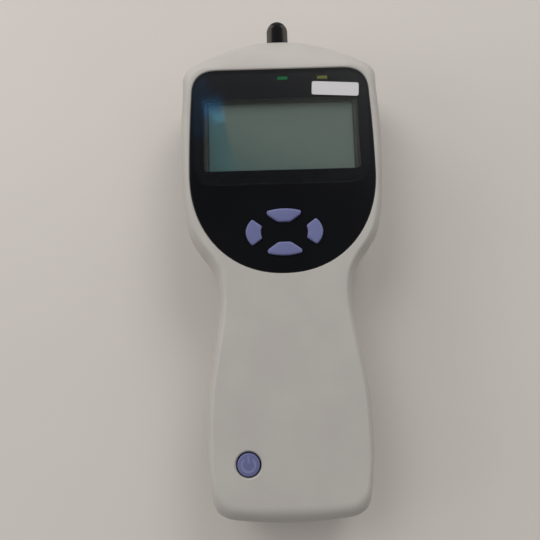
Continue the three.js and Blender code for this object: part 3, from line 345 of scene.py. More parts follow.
def plan_powers():
    right = [row[7] for row in PLAN_ROWS]
    rows = right + right[-2:0:-1]
    powers = []
    for number, power in enumerate(rows):
        after = rows[(number + 1) % len(rows)]
        powers += [power + (after - power) * step / STEPS_PER_ROW for step in range(STEPS_PER_ROW)]
    return powers


def drawn_in(line, inset):
    points = []
    for number, point in enumerate(line):
        along = (line[(number + 1) % len(line)] - line[number - 1]).normalized()
        points.append(point + Vector((-along.y, along.x)) * inset)
    return points


# The line round the widest edge, and for each half the line round its flat and the powers of its section
EDGE_LINE = plan_line(1, 2)
FACE = (plan_line(3, 4), plan_powers())
BACK = (plan_line(5, 6), [2.0] * len(EDGE_LINE))
FRONT_LOW_Z = PARTING_Z + SEAM / 2
REAR_HIGH_Z = PARTING_Z - SEAM / 2
OUTER_LEVELS = 20
INNER_LEVELS = 8


def section_rings(side, inset, base_z, flat_z, levels):
    """Rings from the widest edge to the flat, along the rounded section."""
    edge = drawn_in(EDGE_LINE, inset)
    flat = drawn_in(side[0], inset)
    rings = []
    for level in range(levels + 1):
        turn = math.pi / 2 * level / levels
        ring = []
        for number, power in enumerate(side[1]):
            out = max(math.cos(turn), 0.0) ** (2 / power)
            up = math.sin(turn) ** (2 / power)
            place = flat[number].lerp(edge[number], out)
            ring.append(Vector((place.x, place.y, base_z + (flat_z - base_z) * up)))
        rings.append(ring)
    return rings


def half_solid(side, inset, base_z, flat_z):
    """One half of the housing's form, solid, drawn in by an inset."""
    return skin(section_rings(side, inset, base_z, flat_z, OUTER_LEVELS))


RIM_EDGE = 0.2
FLAT_BAND = 0.12
TONGUE_HIGH_Z = 23.1
GROOVE_HIGH_Z = 23.4
GROOVE_INSET = 1.05
TONGUE_INSET = 1.2


def shell(side, rim_z, flat_z, lap):
    """A closed shell: outer skin from the flat to the rim, the lap joint, then the inner skin."""
    way = 1 if flat_z > rim_z else -1
    outer = section_rings(side, 0.0, rim_z, flat_z, OUTER_LEVELS)
    inner = section_rings(side, WALL, rim_z, flat_z - way * WALL, INNER_LEVELS)
    rings = [at(drawn_in(side[0], FLAT_BAND), flat_z)]
    rings += outer[:0:-1]
    rings.append(at(EDGE_LINE, rim_z + way * RIM_EDGE))
    rings.append(at(drawn_in(EDGE_LINE, RIM_EDGE), rim_z))
    rings += [at(drawn_in(EDGE_LINE, inset), z) for inset, z in lap]
    rings += inner[1:]
    return skin(rings)


# Display panel and the keys in it
PANEL_HALF = 34.95
PANEL_TOP_Y = 69.999
PANEL_BOTTOM_Y = -9.451
PANEL_WIDE_Y = 28.84
PANEL_TOP_Z = 39.0
PANEL_BOTTOM_Z = 37.2
PANEL_CORNER = 9.8
PANEL_POWER = 2.14
PANEL_SHOULDER = 0.973
PANEL_STEPS = 40
PANEL_CORNER_STEPS = 12
TRAY_TOP_Z = 36.9
TRAY_BOTTOM_Z = 35.0
INLAY = 0.15
LCD_FRAME_Z = (32.1, 36.9)


def quadratic(start, middle, end, steps):
    points = []
    for step in range(1, steps + 1):
        share = step / steps
        points.append(start * (1 - share) ** 2 + middle * 2 * share * (1 - share) + end * share ** 2)
    return points


def panel_outline(grow):
    """The panel's outline, grown or drawn in: a rounded low end, nearly straight sides, round top corners."""
    half = PANEL_HALF + grow
    top = PANEL_TOP_Y + grow
    reach = PANEL_WIDE_Y - PANEL_BOTTOM_Y + grow
    corner = PANEL_CORNER + grow
    shoulder = PANEL_HALF * PANEL_SHOULDER + grow
    right = []
    for step in range(PANEL_STEPS + 1):
        turn = math.pi / 2 * step / PANEL_STEPS
        x = half * math.sin(turn) ** (2 / PANEL_POWER)
        right.append(Vector((x, PANEL_WIDE_Y - reach * max(math.cos(turn), 0.0) ** (2 / PANEL_POWER))))
    side = Vector((half, (PANEL_WIDE_Y + top - corner) / 2))
    low = Vector((shoulder, top - corner))
    high = Vector((shoulder - corner, top))
    right += quadratic(right[-1], side, low, PANEL_CORNER_STEPS)
    right += quadratic(low, Vector((shoulder, top)), high, PANEL_CORNER_STEPS)
    left = [Vector((-point.x, point.y)) for point in right[:0:-1]]
    return right + left


WINDOW_HALF = 29.5
WINDOW_LOW_Y = 29.659
WINDOW_HIGH_Y = 58.049
WINDOW_CORNER = 1.4


def window_outline(grow):
    y = (WINDOW_LOW_Y - grow, WINDOW_HIGH_Y + grow)
    return rounded_box((-WINDOW_HALF - grow, WINDOW_HALF + grow), y, WINDOW_CORNER + grow)


INDICATOR_Y = 66.249
INDICATOR_X = {"green": 1.05, "yellow": 16.4}
INDICATOR_HALF_WIDTH = 2.0
INDICATOR_HALF_HEIGHT = 0.65
INDICATOR_CORNER = 0.3
INDICATOR_STEPS = 4


def indicator_outline(x, grow):
    across = (x - INDICATOR_HALF_WIDTH - grow, x + INDICATOR_HALF_WIDTH + grow)
    along = (INDICATOR_Y - INDICATOR_HALF_HEIGHT - grow, INDICATOR_Y + INDICATOR_HALF_HEIGHT + grow)
    return rounded_box(across, along, INDICATOR_CORNER + grow, INDICATOR_STEPS)


KEYS_Y = 5.799
KEY_RING_A = 14.33
KEY_RING_B = 8.83
TALL_KEY_HALF = 6.35
TALL_KEY_END = 1.3
SIDE_KEY_HALF = 4.95
KEY_INNER_HALF = 2.3
TALL_KEY_INSET = 3.75
SIDE_KEY_INSET = 8.2
SIDE_KEY_HOLLOW = 0.5
KEY_CORNER = 0.8
KEY_ARC_STEPS = 12
KEY_TOP_Z = 40.0
KEY_FLANGE = 0.8
KEY_FLANGE_Z = 35.7


def tall_key_outline(side, grow):
    """The up or down key: an arc outside, short ends, slanted sides and a short inner edge."""
    a, b, half = KEY_RING_A + grow, KEY_RING_B + grow, TALL_KEY_HALF + grow
    reach = KEY_INNER_HALF + grow
    inner = KEYS_Y + side * (TALL_KEY_INSET - grow)

    def arc_y(x):
        return KEYS_Y + side * b * math.sqrt(1 - (x / a) ** 2)

    end = arc_y(half) - side * (TALL_KEY_END + grow)
    corners = [(-half, end), (-reach, inner), (reach, inner), (half, end)]
    for step in range(KEY_ARC_STEPS + 1):
        x = half * (1 - 2 * step / KEY_ARC_STEPS)
        corners.append((x, arc_y(x)) if step in (0, KEY_ARC_STEPS) else (x, arc_y(x), True))
    return rounded(corners if side > 0 else corners[::-1], KEY_CORNER)


def side_key_outline(side, grow):
    """The left or right key: an arc outside, slanted sides and a hollow inner edge."""
    a, b, half = KEY_RING_A + grow, KEY_RING_B + grow, SIDE_KEY_HALF + grow
    inner = side * (SIDE_KEY_INSET - grow)
    reach = KEY_INNER_HALF + grow
    corners = [(inner, KEYS_Y + reach)]
    for share in (0.5, 0.0, -0.5):
        corners.append((inner + side * SIDE_KEY_HOLLOW * (1 - share ** 2), KEYS_Y + reach * share, True))
    corners.append((inner, KEYS_Y - reach))
    for step in range(KEY_ARC_STEPS + 1):
        y = half * (2 * step / KEY_ARC_STEPS - 1)
        point = (side * a * math.sqrt(1 - (y / b) ** 2), KEYS_Y + y)
        corners.append(point if step in (0, KEY_ARC_STEPS) else point + (True,))
    return rounded(corners if side > 0 else corners[::-1], KEY_CORNER)


KEY_OUTLINES = {
    "up": lambda grow: tall_key_outline(1, grow),
    "down": lambda grow: tall_key_outline(-1, grow),
    "left": lambda grow: side_key_outline(-1, grow),
    "right": lambda grow: side_key_outline(1, grow),
}


# Materials
def hue(red, green, blue):
    """A colour given as it looks on a screen, 0 to 255, as the light values a shader takes."""
    values = []
    for part in (red, green, blue):
        share = part / 255
        values.append(share / 12.92 if share <= 0.04045 else ((share + 0.055) / 1.055) ** 2.4)
    return (*values, 1.0)


def fill(tree, node, inputs):
    """Sets a node's inputs, or links them where the value is another node's output."""
    for key, value in inputs.items():
        if isinstance(value, bpy.types.NodeSocket):
            tree.links.new(value, node.inputs[key])
        else:
            node.inputs[key].default_value = value


def add_node(tree, kind, inputs, operation=None):
    node = tree.nodes.new("ShaderNode" + kind)
    if operation:
        node.operation = operation
    fill(tree, node, inputs)
    return node


class Finish:
    """A material being put together round one Principled shader.

    Patterns lie on object coordinates: a noise's scale is in blotches per metre, a bump's depth in metres.
    """

    def __init__(self, name, colour, roughness, more=None):
        self.material = bpy.data.materials.new(name)
        self.material.use_nodes = True
        self.material.diffuse_color = hue(*colour)
        self.tree = self.material.node_tree
        self.shader = self.tree.nodes["Principled BSDF"]
        fill(self.tree, self.shader, {"Base Color": hue(*colour), "Roughness": roughness, **(more or {})})
        self.place = self.add("TexCoord", {}).outputs["Object"]

    def add(self, kind, inputs, operation=None):
        return add_node(self.tree, kind, inputs, operation)

    def put(self, socket, value):
        fill(self.tree, self.shader, {socket: value})

    def noise(self, scale, detail=2.0, stretch=None):
        place = self.place
        if stretch:
            place = self.add("Mapping", {"Vector": place, "Scale": stretch}).outputs["Vector"]
        return self.add("TexNoise", {"Vector": place, "Scale": scale, "Detail": detail}).outputs["Fac"]

    def along(self, way, start, end):
        """How far along a direction, 0 at the start and 1 at the end, in metres from the origin."""
        reach = self.add("VectorMath", {0: self.place, 1: way}, "DOT_PRODUCT").outputs["Value"]
        return self.add("MapRange", {"Value": reach, "From Min": start, "From Max": end}).outputs["Result"]

    def blended(self, share, first, second):
        """The base colour runs from a plain first colour to a second one that may be a pattern."""
        mix = self.add("MixRGB", {"Fac": share, "Color1": hue(*first), "Color2": second})
        self.put("Base Color", mix.outputs["Color"])

    def ramp(self, value, *stops):
        """Colours along a value: each stop is its place and its colour."""
        node = self.add("ValToRGB", {"Fac": value})
        marks = node.color_ramp.elements
        while len(marks) < len(stops):
            marks.new(0.5)
        for mark, (place, colour) in zip(marks, stops):
            mark.position = place
            mark.color = hue(*colour)
        return node.outputs["Color"]

    def colour(self, value, *stops):
        self.put("Base Color", self.ramp(value, *stops))

    def roughness(self, value, low, high):
        node = self.add("MapRange", {"Value": value, "To Min": low, "To Max": high})
        self.put("Roughness", node.outputs["Result"])

    def bump(self, value, strength, depth):
        node = self.add("Bump", {"Height": value, "Strength": strength, "Distance": depth})
        self.put("Normal", node.outputs["Normal"])

    def clear_where(self, share):
        clear = self.add("BsdfTransparent", {}).outputs["BSDF"]
        mixed = self.add("MixShader", {0: share, 1: self.shader.outputs["BSDF"], 2: clear})
        fill(self.tree, self.tree.nodes["Material Output"], {"Surface": mixed.outputs["Shader"]})

    def lets_lamps_through(self):
        """Clear pieces pass lamp light to what lies under them."""
        self.clear_where(self.add("LightPath", {}).outputs["Is Shadow Ray"])

    def hidden_from_behind(self):
        """The table is not seen from below and lets lamp light up through it, to show the part's back."""
        behind = self.add("NewGeometry", {}).outputs["Backfacing"]
        shadow = self.add("LightPath", {}).outputs["Is Shadow Ray"]
        self.clear_where(self.add("Math", {0: behind, 1: shadow}, "MAXIMUM").outputs["Value"])


def moulded(name, colour, darker, roughness, grain_scale=2600.0):
    """Moulded plastic: a fine sparked grain and slight mottling."""
    finish = Finish(name, colour, roughness)
    finish.colour(finish.noise(60.0, detail=3.0), (0.35, darker), (0.65, colour))
    finish.roughness(finish.noise(900.0), low=roughness - 0.05, high=roughness + 0.07)
    finish.bump(finish.noise(grain_scale, detail=3.0), strength=0.25, depth=0.00004)
    return finish.material


def gloss(name, colour, darker, roughness):
    """Polished plastic with a trace of orange peel."""
    finish = Finish(name, colour, roughness)
    finish.colour(finish.noise(30.0), (0.3, darker), (0.7, colour))
    finish.roughness(finish.noise(500.0, detail=4.0), low=roughness * 0.7, high=roughness * 1.4)
    finish.bump(finish.noise(260.0), strength=0.05, depth=0.00003)
    return finish.material


def metal(name, colour, darker, roughness):
    """Bare metal with fine drawn lines."""
    finish = Finish(name, colour, roughness, {"Metallic": 1.0})
    lines = finish.noise(1500.0, detail=2.0, stretch=(1.0, 12.0, 1.0))
    finish.colour(lines, (0.3, darker), (0.7, colour))
    finish.roughness(lines, low=roughness - 0.08, high=roughness + 0.12)
    finish.bump(lines, strength=0.1, depth=0.00003)
    return finish.material


CASE_PLASTIC = moulded("case_plastic_satin", (171, 168, 163), (167, 163, 159), 0.5)
KEY_PLASTIC = moulded("key_plastic_lilac", (102, 106, 147), (96, 100, 141), 0.4, 3500.0)
POWER_PLASTIC = moulded("power_key_plastic", (97, 100, 139), (91, 94, 133), 0.42, 3500.0)
POWER_MARK = moulded("power_mark_ink", (114, 118, 155), (109, 113, 150), 0.45, 3500.0)
PANEL_GLOSS = gloss("panel_gloss_black", (17, 18, 21), (13, 14, 17), 0.06)
DARK_PLASTIC = moulded("dark_plastic_matt", (60, 64, 62), (56, 59, 58), 0.55)
WHITE_PLASTIC = moulded("white_plastic_plain", (218, 217, 211), (210, 209, 203), 0.5)
RUBBER = moulded("rubber_dark", (62, 62, 63), (52, 52, 53), 0.8, 1800.0)
STEEL = metal("steel_drawn", (178, 180, 182), (160, 162, 165), 0.3)
BRASS = metal("brass_turned", (190, 160, 98), (172, 142, 82), 0.3)
GREEN_LENS = moulded("green_lens_tinted", (11, 86, 50), (9, 79, 44), 0.15, 1500.0)
YELLOW_LENS = moulded("yellow_lens_tinted", (88, 91, 44), (79, 82, 38), 0.15, 1500.0)


# The grey round the nose's sides is a painted reflection of the bright room, not the plastic's own colour.
NOSE_PAINTED_REFLECTION_BLEND = 0.5
NOSE_PAINTED_REFLECTION_STOPS = ((0.0, (9, 8, 11)), (0.24, (10, 9, 12)), (0.34, (69, 66, 62)), (1.0, (88, 84, 79)))
NOSE_TIP_WAY = (-0.9, 1.0, 0.0)
NOSE_PAINTED_REFLECTION_TIP_FADE = (0.0954, 0.0944)
NOSE_TIP_COLOUR = (11, 10, 13)


def make_nose_plastic():
    """Black rubbery plastic, near black where it faces the eye, with a painted reflection that makes it
    greyer round its sides and fades out short of the tip.
    """
    finish = Finish("nose_cone_black", (15, 14, 17), 0.5, {"Specular IOR Level": 0.12})
    finish.bump(finish.noise(2400.0), strength=0.1, depth=0.00002)
    # Painted reflection: the colour turns grey where the surface is seen side-on.
    painted_reflection_share = finish.add("LayerWeight", {"Blend": NOSE_PAINTED_REFLECTION_BLEND}).outputs["Facing"]
    same_both_sides = finish.add("VectorMath", {0: finish.place}, "ABSOLUTE")
    finish.place = same_both_sides.outputs["Vector"]
    # The painted reflection fades out towards the tip, which keeps a plain near-black.
    painted_reflection_short_of_tip = finish.along(NOSE_TIP_WAY, *NOSE_PAINTED_REFLECTION_TIP_FADE)
    finish.blended(painted_reflection_short_of_tip, NOSE_TIP_COLOUR, finish.ramp(painted_reflection_share, *NOSE_PAINTED_REFLECTION_STOPS))
    return finish.material


def make_label_paper():
    finish = Finish("label_paper_blank", (193, 192, 194), 0.6)
    fibres = finish.noise(2200.0, detail=4.0, stretch=(1.0, 2.5, 1.0))
    finish.colour(fibres, (0.3, (188, 187, 189)), (0.7, (197, 196, 198)))
    finish.bump(fibres, strength=0.15, depth=0.00002)
    return finish.material


def make_clear(name, ior, roughness):
    finish = Finish(name, (252, 253, 252), roughness, {"Transmission Weight": 1.0, "IOR": ior})
    finish.roughness(finish.noise(140.0), low=roughness * 0.6, high=roughness * 1.5)
    finish.bump(finish.noise(45.0), strength=0.03, depth=0.0001)
    finish.lets_lamps_through()
    return finish.material


LCD_BAND_LEAN = 0.2
LCD_BAND_EDGE = (-0.0126, -0.0108)
LCD_BAND_COLOUR = (69, 97, 100)
LCD_PAINTED_SHADE_WAY = (0.5, 1.0, 0.0)
LCD_PAINTED_SHADE_SPAN = (0.0009, 0.0425)


def make_lcd_face():
    """An unlit reflective display: grey-green, with painted shading that makes it lighter to the upper right,
    and a cooler slanted band.
    """
    finish = Finish("lcd_face_unlit", (85, 101, 97), 0.35)
    # Painted shading: the grey-green runs from darker at the lower left to lighter at the upper right.
    shade = finish.ramp(finish.along(LCD_PAINTED_SHADE_WAY, *LCD_PAINTED_SHADE_SPAN),
                        (0.0, (68, 88, 87)), (0.5, (78, 97, 96)), (1.0, (95, 108, 102)))
    in_band = finish.along((1.0, LCD_BAND_LEAN, 0.0), *LCD_BAND_EDGE)
    finish.blended(in_band, LCD_BAND_COLOUR, shade)
    finish.bump(finish.noise(3000.0), strength=0.05, depth=0.00001)
    return finish.material


def make_board():
    """Circuit board: green lacquer over a faint pattern of tracks."""
    finish = Finish("board_green_lacquer", (34, 92, 58), 0.35)
    bricks = finish.add("TexBrick", {"Vector": finish.place, "Scale": 160.0, "Mortar Size": 0.05})
    tracks = bricks.outputs["Fac"]
    finish.colour(tracks, (0.0, (30, 84, 52)), (1.0, (62, 118, 78)))
    finish.bump(tracks, strength=0.2, depth=0.00003)
    return finish.material


def make_cell_wrap():
    """Cell wrap: a dark, slightly mottled blue sleeve."""
    finish = Finish("cell_wrap_sleeve", (58, 72, 92), 0.3)
    finish.colour(finish.noise(50.0), (0.3, (52, 66, 86)), (0.7, (62, 77, 98)))
    finish.roughness(finish.noise(700.0), low=0.25, high=0.4)
    finish.bump(finish.noise(120.0), strength=0.05, depth=0.00005)
    return finish.material


NOSE_PLASTIC = make_nose_plastic()
LABEL_PAPER = make_label_paper()
WINDOW_CLEAR = make_clear("window_clear_acrylic", 1.45, 0.03)
FILM_CLEAR = make_clear("film_clear", 1.2, 0.05)
TUBE_CLEAR = moulded("tube_milky", (205, 209, 210), (196, 200, 202), 0.3)
LCD_FACE = make_lcd_face()
BOARD = make_board()
CELL_WRAP = make_cell_wrap()
CHIP = moulded("chip_black_matt", (34, 34, 35), (28, 28, 29), 0.5, 3000.0)

NODE_MATERIALS = {
    STEEL: ["pump_motor", "probe_speaker", "contact_bridge", "plus_contact", "minus_contact"],
    BRASS: ["bleed_valve", "probe_microphone"],
    DARK_PLASTIC: ["board_connector", "power_switch", "pump_head", "probe_holder"],
    WHITE_PLASTIC: ["lcd_backlight", "green_led", "yellow_led", "pressure_sensor", "probe_spigot"],
    BOARD: ["display_board", "main_board"],
    CHIP: ["processor_chip"],
    RUBBER: ["keypad_mat", "probe_seal"],
    TUBE_CLEAR: ["pump_tube", "sensor_tube", "valve_tube"],
    LCD_FACE: ["lcd_glass"],
    CELL_WRAP: ["battery_1", "battery_2", "battery_3", "battery_4"],
}


for material, names in NODE_MATERIALS.items():
    for name in names:
        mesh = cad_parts[name].data
        mesh.materials.clear()
        mesh.materials.append(material)


# Housing details shared by both halves
HOUSING = "housing"
COLLAR_RADIUS = 7.3
COLLAR_LOW_Y = 83.4
COLLAR_BORE = 5.0
BORE_LOW_Y = 80.5
HOLDER_LOW_Y = 62.2
HOLDER_SEAT = 5.8
CRADLE_HALF = 9.0
CRADLE_RIB = 1.6
CRADLE_YS = (68.2, 75.6)
SCREWS = [(24.0, 73.9), (-24.0, 73.9), (22.3, -86.1), (-22.3, -86.1)]
SCREW_HOLE = 1.55
SCREW_WELL = 2.8
SCREW_RECESS = 4.0
BOSS_RADIUS = 3.2


def collar(low_z, high_z):
    form = lengthwise(rod(COLLAR_RADIUS, COLLAR_LOW_Y, PROBE_END_Y), 0.0, PARTING_Z)
    reach = COLLAR_RADIUS + SHORT_OVERRUN
    along = (COLLAR_LOW_Y - SHORT_OVERRUN, PROBE_END_Y + SHORT_OVERRUN)
    return inside(form, box((-reach, reach), along, (low_z, high_z)))


def probe_bore():
    return lengthwise([
        (0.0, HOLDER_LOW_Y - GAP),
        (HOLDER_SEAT, HOLDER_LOW_Y - GAP),
        (HOLDER_SEAT, BORE_LOW_Y),
        (COLLAR_BORE, BORE_LOW_Y),
        (COLLAR_BORE, NOSE_TIP_Y),
        (0.0, NOSE_TIP_Y),
    ], 0.0, PARTING_Z)


def cradle(low_z, high_z):
    ribs = [(y, y + CRADLE_RIB) for y in CRADLE_YS]
    return gathered(*[box((-CRADLE_HALF, CRADLE_HALF), rib, (low_z, high_z)) for rib in ribs])


def rods(places, radius, low_z, high_z, steps=ROD_STEPS):
    return gathered(*[upright(rod(radius, low_z, high_z), x, y, steps) for x, y in places])


POWER_X = -15.1
POWER_Y = -76.7
POWER_HOLE = 4.5
RECESS_EDGE = 0.3
HOLE_EDGE = 0.5
POST_RADIUS = 2.2
POST_SINK = 0.5
POST_X = 29.8
DISPLAY_POSTS = [(x, y) for x in (-POST_X, POST_X) for y in (WINDOW_LOW_Y, WINDOW_HIGH_Y)]
TRAY_MARGIN = 1.4
TRAY_SKIN = 0.05
BOSS_SHORT = 1.5
CRADLE_SINK = 0.1
WELL_LOW_Z = TRAY_BOTTOM_Z - 4.0
LCD_WELL_MARGIN = 2.1
LIGHT_WELL_MARGIN = (4.0, 1.3)
KEY_WELL_MARGIN = 1.6
SCREW_BORE_HIGH_Z = 28.0


def make_front():
    lap = [(GROOVE_INSET, FRONT_LOW_Z), (GROOVE_INSET, GROOVE_HIGH_Z), (WALL, GROOVE_HIGH_Z)]
    form = shell(FACE, FRONT_LOW_Z, FACE_Z, lap)
    mid_wall = half_solid(FACE, WALL / 2, FRONT_LOW_Z, FACE_Z - WALL / 2)
    tray = prism(panel_outline(TRAY_MARGIN), TRAY_BOTTOM_Z, FACE_Z - WALL / 2 - TRAY_SKIN)
    fittings = gathered(
        rods(SCREWS, BOSS_RADIUS, FRONT_LOW_Z + BOSS_SHORT, FACE_Z),
        cradle(FRONT_LOW_Z + BOSS_SHORT, TRAY_BOTTOM_Z - CRADLE_SINK),
        collar(FRONT_LOW_Z + HAIR, FACE_Z),
    )
    posts = rods(DISPLAY_POSTS, POST_RADIUS, LCD_FRAME_Z[0], TRAY_TOP_Z - POST_SINK)
    form = join(form, inside(fittings, mid_wall), tray, posts)
    recess = layered(panel_outline, [
        (INLAY, TRAY_TOP_Z),
        (INLAY, FACE_Z - RECESS_EDGE),
        (INLAY + RECESS_EDGE + OVERRUN, FACE_Z + OVERRUN),
    ])
    well_z = (WELL_LOW_Z, TRAY_TOP_Z + GAP)
    reach = WINDOW_HALF + LCD_WELL_MARGIN
    lcd_well = box((-reach, reach), (WINDOW_LOW_Y - LCD_WELL_MARGIN, WINDOW_HIGH_Y + LCD_WELL_MARGIN), well_z)
    past_x, past_y = LIGHT_WELL_MARGIN
    light_well = box((INDICATOR_X["green"] - past_x, INDICATOR_X["yellow"] + past_x),
                     (INDICATOR_Y - past_y, INDICATOR_Y + past_y), well_z)
    key_well = prism(oval(KEYS_Y, KEY_RING_A + KEY_WELL_MARGIN, KEY_RING_B + KEY_WELL_MARGIN), *well_z)
    power_hole = upright([
        (0.0, FACE_Z - WALL - OVERRUN),
        (POWER_HOLE, FACE_Z - WALL - OVERRUN),
        (POWER_HOLE, FACE_Z - HOLE_EDGE),
        (POWER_HOLE + HOLE_EDGE + SHORT_OVERRUN, FACE_Z + SHORT_OVERRUN),
        (0.0, FACE_Z + SHORT_OVERRUN),
    ], POWER_X, POWER_Y, FINE_STEPS)
    screw_bores = rods(SCREWS, SCREW_HOLE, FRONT_LOW_Z - OVERRUN, SCREW_BORE_HIGH_Z)
    form = cut(form, recess, lcd_well, light_well, key_well, power_hole, probe_bore(), screw_bores)
    finished(form, "front_shell", CASE_PLASTIC, HOUSING, "case_plastic", "front_case")


make_front()


# Battery bay and its cover
BAY_HALF = 14.8
BAY_LOW_Y = -91.6
BAY_HIGH_Y = 19.1
BAY_ROOF_Z = 17.0
BAY_TOP_Z = 18.4
BAY_OUTER_HALF = 19.2
COVER_HALF = 16.0
COVER_RAIL = 1.0
COVER_HIGH_Y = 20.3
COVER_THICKNESS = 2.2
COVER_END_HEIGHT = 9.0
RAIL_LOW_Z = 1.2
RAIL_SLACK = 0.05
RAIL_END_SLACK = 0.03
BAY_WALL = 1.4
FITTING_SHORT = 0.5
BOSS_STEPS = 32
WELL_STEPS = 48


def make_rear():
    """The rear case, with a battery bay that opens downwards and towards the grip end."""
    lap = [(TONGUE_INSET, REAR_HIGH_Z), (TONGUE_INSET, TONGUE_HIGH_Z), (WALL, TONGUE_HIGH_Z)]
    form = shell(BACK, REAR_HIGH_Z, 0.0, lap)
    mid_wall = half_solid(BACK, WALL / 2, REAR_HIGH_Z, WALL / 2)
    bay = box((-BAY_OUTER_HALF, BAY_OUTER_HALF), (GRIP_END_Y - SHORT_OVERRUN, COVER_HIGH_Y + BAY_WALL),
              (-SHORT_OVERRUN, BAY_TOP_Z))
    fittings = gathered(
        rods(SCREWS, BOSS_RADIUS, -SHORT_OVERRUN, REAR_HIGH_Z - FITTING_SHORT, BOSS_STEPS),
        cradle(-SHORT_OVERRUN, REAR_HIGH_Z - FITTING_SHORT),
        collar(0.0, REAR_HIGH_Z - HAIR),
    )
    form = join(form, inside(join(bay, fittings), mid_wall))
    low_y = GRIP_END_Y - OVERRUN
    wide = COVER_HALF + GAP
    rail_half = COVER_HALF + COVER_RAIL + GAP
    cover_top = COVER_THICKNESS + GAP
    opening = join(
        box((-wide, wide), (low_y, COVER_HIGH_Y + GAP), (-OVERRUN, cover_top)),
        box((-wide, wide), (low_y - SHORT_OVERRUN, BAY_LOW_Y + GAP),
            (-OVERRUN - SHORT_OVERRUN, COVER_END_HEIGHT + GAP)),
        box((-rail_half, rail_half), (low_y + SHORT_OVERRUN, COVER_HIGH_Y + GAP + RAIL_END_SLACK),
            (RAIL_LOW_Z - GAP, cover_top + RAIL_SLACK)),
        box((-BAY_HALF, BAY_HALF), (BAY_LOW_Y, BAY_HIGH_Y), (-OVERRUN + SHORT_OVERRUN, BAY_ROOF_Z)),
    )
    form = cut(
        form,
        opening,
        probe_bore(),
        rods(SCREWS, SCREW_HOLE, -OVERRUN, REAR_HIGH_Z + OVERRUN),
        rods(SCREWS, SCREW_WELL, -OVERRUN, SCREW_RECESS, WELL_STEPS),
    )
    finished(form, "rear_shell", CASE_PLASTIC, HOUSING, "case_plastic", "rear_case")


make_rear()

SCOOP_RADIUS = 6.0
SCOOP_HALF_WIDTH = 7.0
SCOOP_DEPTH = 3.2
SCOOP_EDGE = 0.6
THUMB_RIBS = 5
THUMB_PITCH = 2.4
THUMB_HALF = 8.0
THUMB_WIDTH = 1.0
THUMB_DEPTH = 0.5
THUMB_EDGE = 0.3


def make_cover():
    low_y = GRIP_END_Y - OVERRUN
    sheet = box((-COVER_HALF, COVER_HALF), (low_y, COVER_HIGH_Y), (-OVERRUN, COVER_THICKNESS))
    end = box((-COVER_HALF, COVER_HALF), (low_y, BAY_LOW_Y - GAP), (-OVERRUN, COVER_END_HEIGHT))
    rail_half = COVER_HALF + COVER_RAIL
    rail = box((-rail_half, rail_half), (low_y, COVER_HIGH_Y), (RAIL_LOW_Z, COVER_THICKNESS - HAIR / 2))
    limit = half_solid(BACK, 0.0, REAR_HIGH_Z, 0.0)
    form = inside(join(sheet, end, rail), limit)
    scoop = turn_about(turned([
        (0.0, -SCOOP_HALF_WIDTH),
        (SCOOP_RADIUS - SCOOP_EDGE, -SCOOP_HALF_WIDTH),
        (SCOOP_RADIUS, -SCOOP_HALF_WIDTH + SCOOP_EDGE),
        (SCOOP_RADIUS, SCOOP_HALF_WIDTH - SCOOP_EDGE),
        (SCOOP_RADIUS - SCOOP_EDGE, SCOOP_HALF_WIDTH),
        (0.0, SCOOP_HALF_WIDTH),
    ]), "Y", 90.0)
    move(scoop, (0.0, GRIP_END_Y - SCOOP_RADIUS + SCOOP_DEPTH, COVER_END_HEIGHT / 2))
    grooves = []
    for number in range(THUMB_RIBS):
        y = BAY_LOW_Y + THUMB_PITCH * (number + 1)
        deep = (-SHORT_OVERRUN, THUMB_DEPTH)
        grooves.append(box((-THUMB_HALF, THUMB_HALF), (y, y + THUMB_WIDTH), deep, THUMB_EDGE))
    form = cut(form, scoop, gathered(*grooves))
    finished(form, "battery_cover_slide", CASE_PLASTIC, "cover_body", "case_plastic", "battery_cover")


make_cover()


# Screws with a cross recess
SCREW_SEAT_Z = 3.7
SCREW_HEAD = 1.8
SCREW_HEAD_RADIUS = 2.5
SCREW_HEAD_CROWN = ((0.7, 0.0), (0.2, 0.35), (0.0, 0.8))
SCREW_RADIUS = 1.25
SCREW_TIP_Z = 27.7
SCREW_TIP_LENGTH = 1.0
SCREW_TIP_SHARE = 0.6
SCREW_STEPS = 40
CROSS_REACH = 1.3
CROSS_HALF = 0.3
CROSS_DEPTH = 1.0


def make_screws():
    for number, (x, y) in enumerate(SCREWS, 1):
        low = SCREW_SEAT_Z - SCREW_HEAD
        form = upright([
            (0.0, low),
            *[(SCREW_HEAD_RADIUS - inset, low + rise) for inset, rise in SCREW_HEAD_CROWN],
            (SCREW_HEAD_RADIUS, SCREW_SEAT_Z),
            (SCREW_RADIUS, SCREW_SEAT_Z),
            (SCREW_RADIUS, SCREW_TIP_Z - SCREW_TIP_LENGTH),
            (SCREW_RADIUS * SCREW_TIP_SHARE, SCREW_TIP_Z),
            (0.0, SCREW_TIP_Z),
        ], x, y, SCREW_STEPS)
        long_x, long_y = (x - CROSS_REACH, x + CROSS_REACH), (y - CROSS_REACH, y + CROSS_REACH)
        thin_x, thin_y = (x - CROSS_HALF, x + CROSS_HALF), (y - CROSS_HALF, y + CROSS_HALF)
        deep = (low - SHORT_OVERRUN, low + CROSS_DEPTH)
        cross = join(box(long_x, thin_y, deep), box(thin_x, long_y, deep))
        node = f"housing_screw_{number}"
        finished(cut(form, cross), f"case_screw_{number}", STEEL, HOUSING, "steel", node)


make_screws()


# Display: the panel, its window and lights, and what lies under and over them
PANEL_EDGE = 0.18
PANEL_EDGE_SHARE = 0.3
PANEL_SMOOTH_ANGLE = 15.0
LIGHT_BAR_FIT = 0.04
SIDE_NORMAL_Z = 0.5


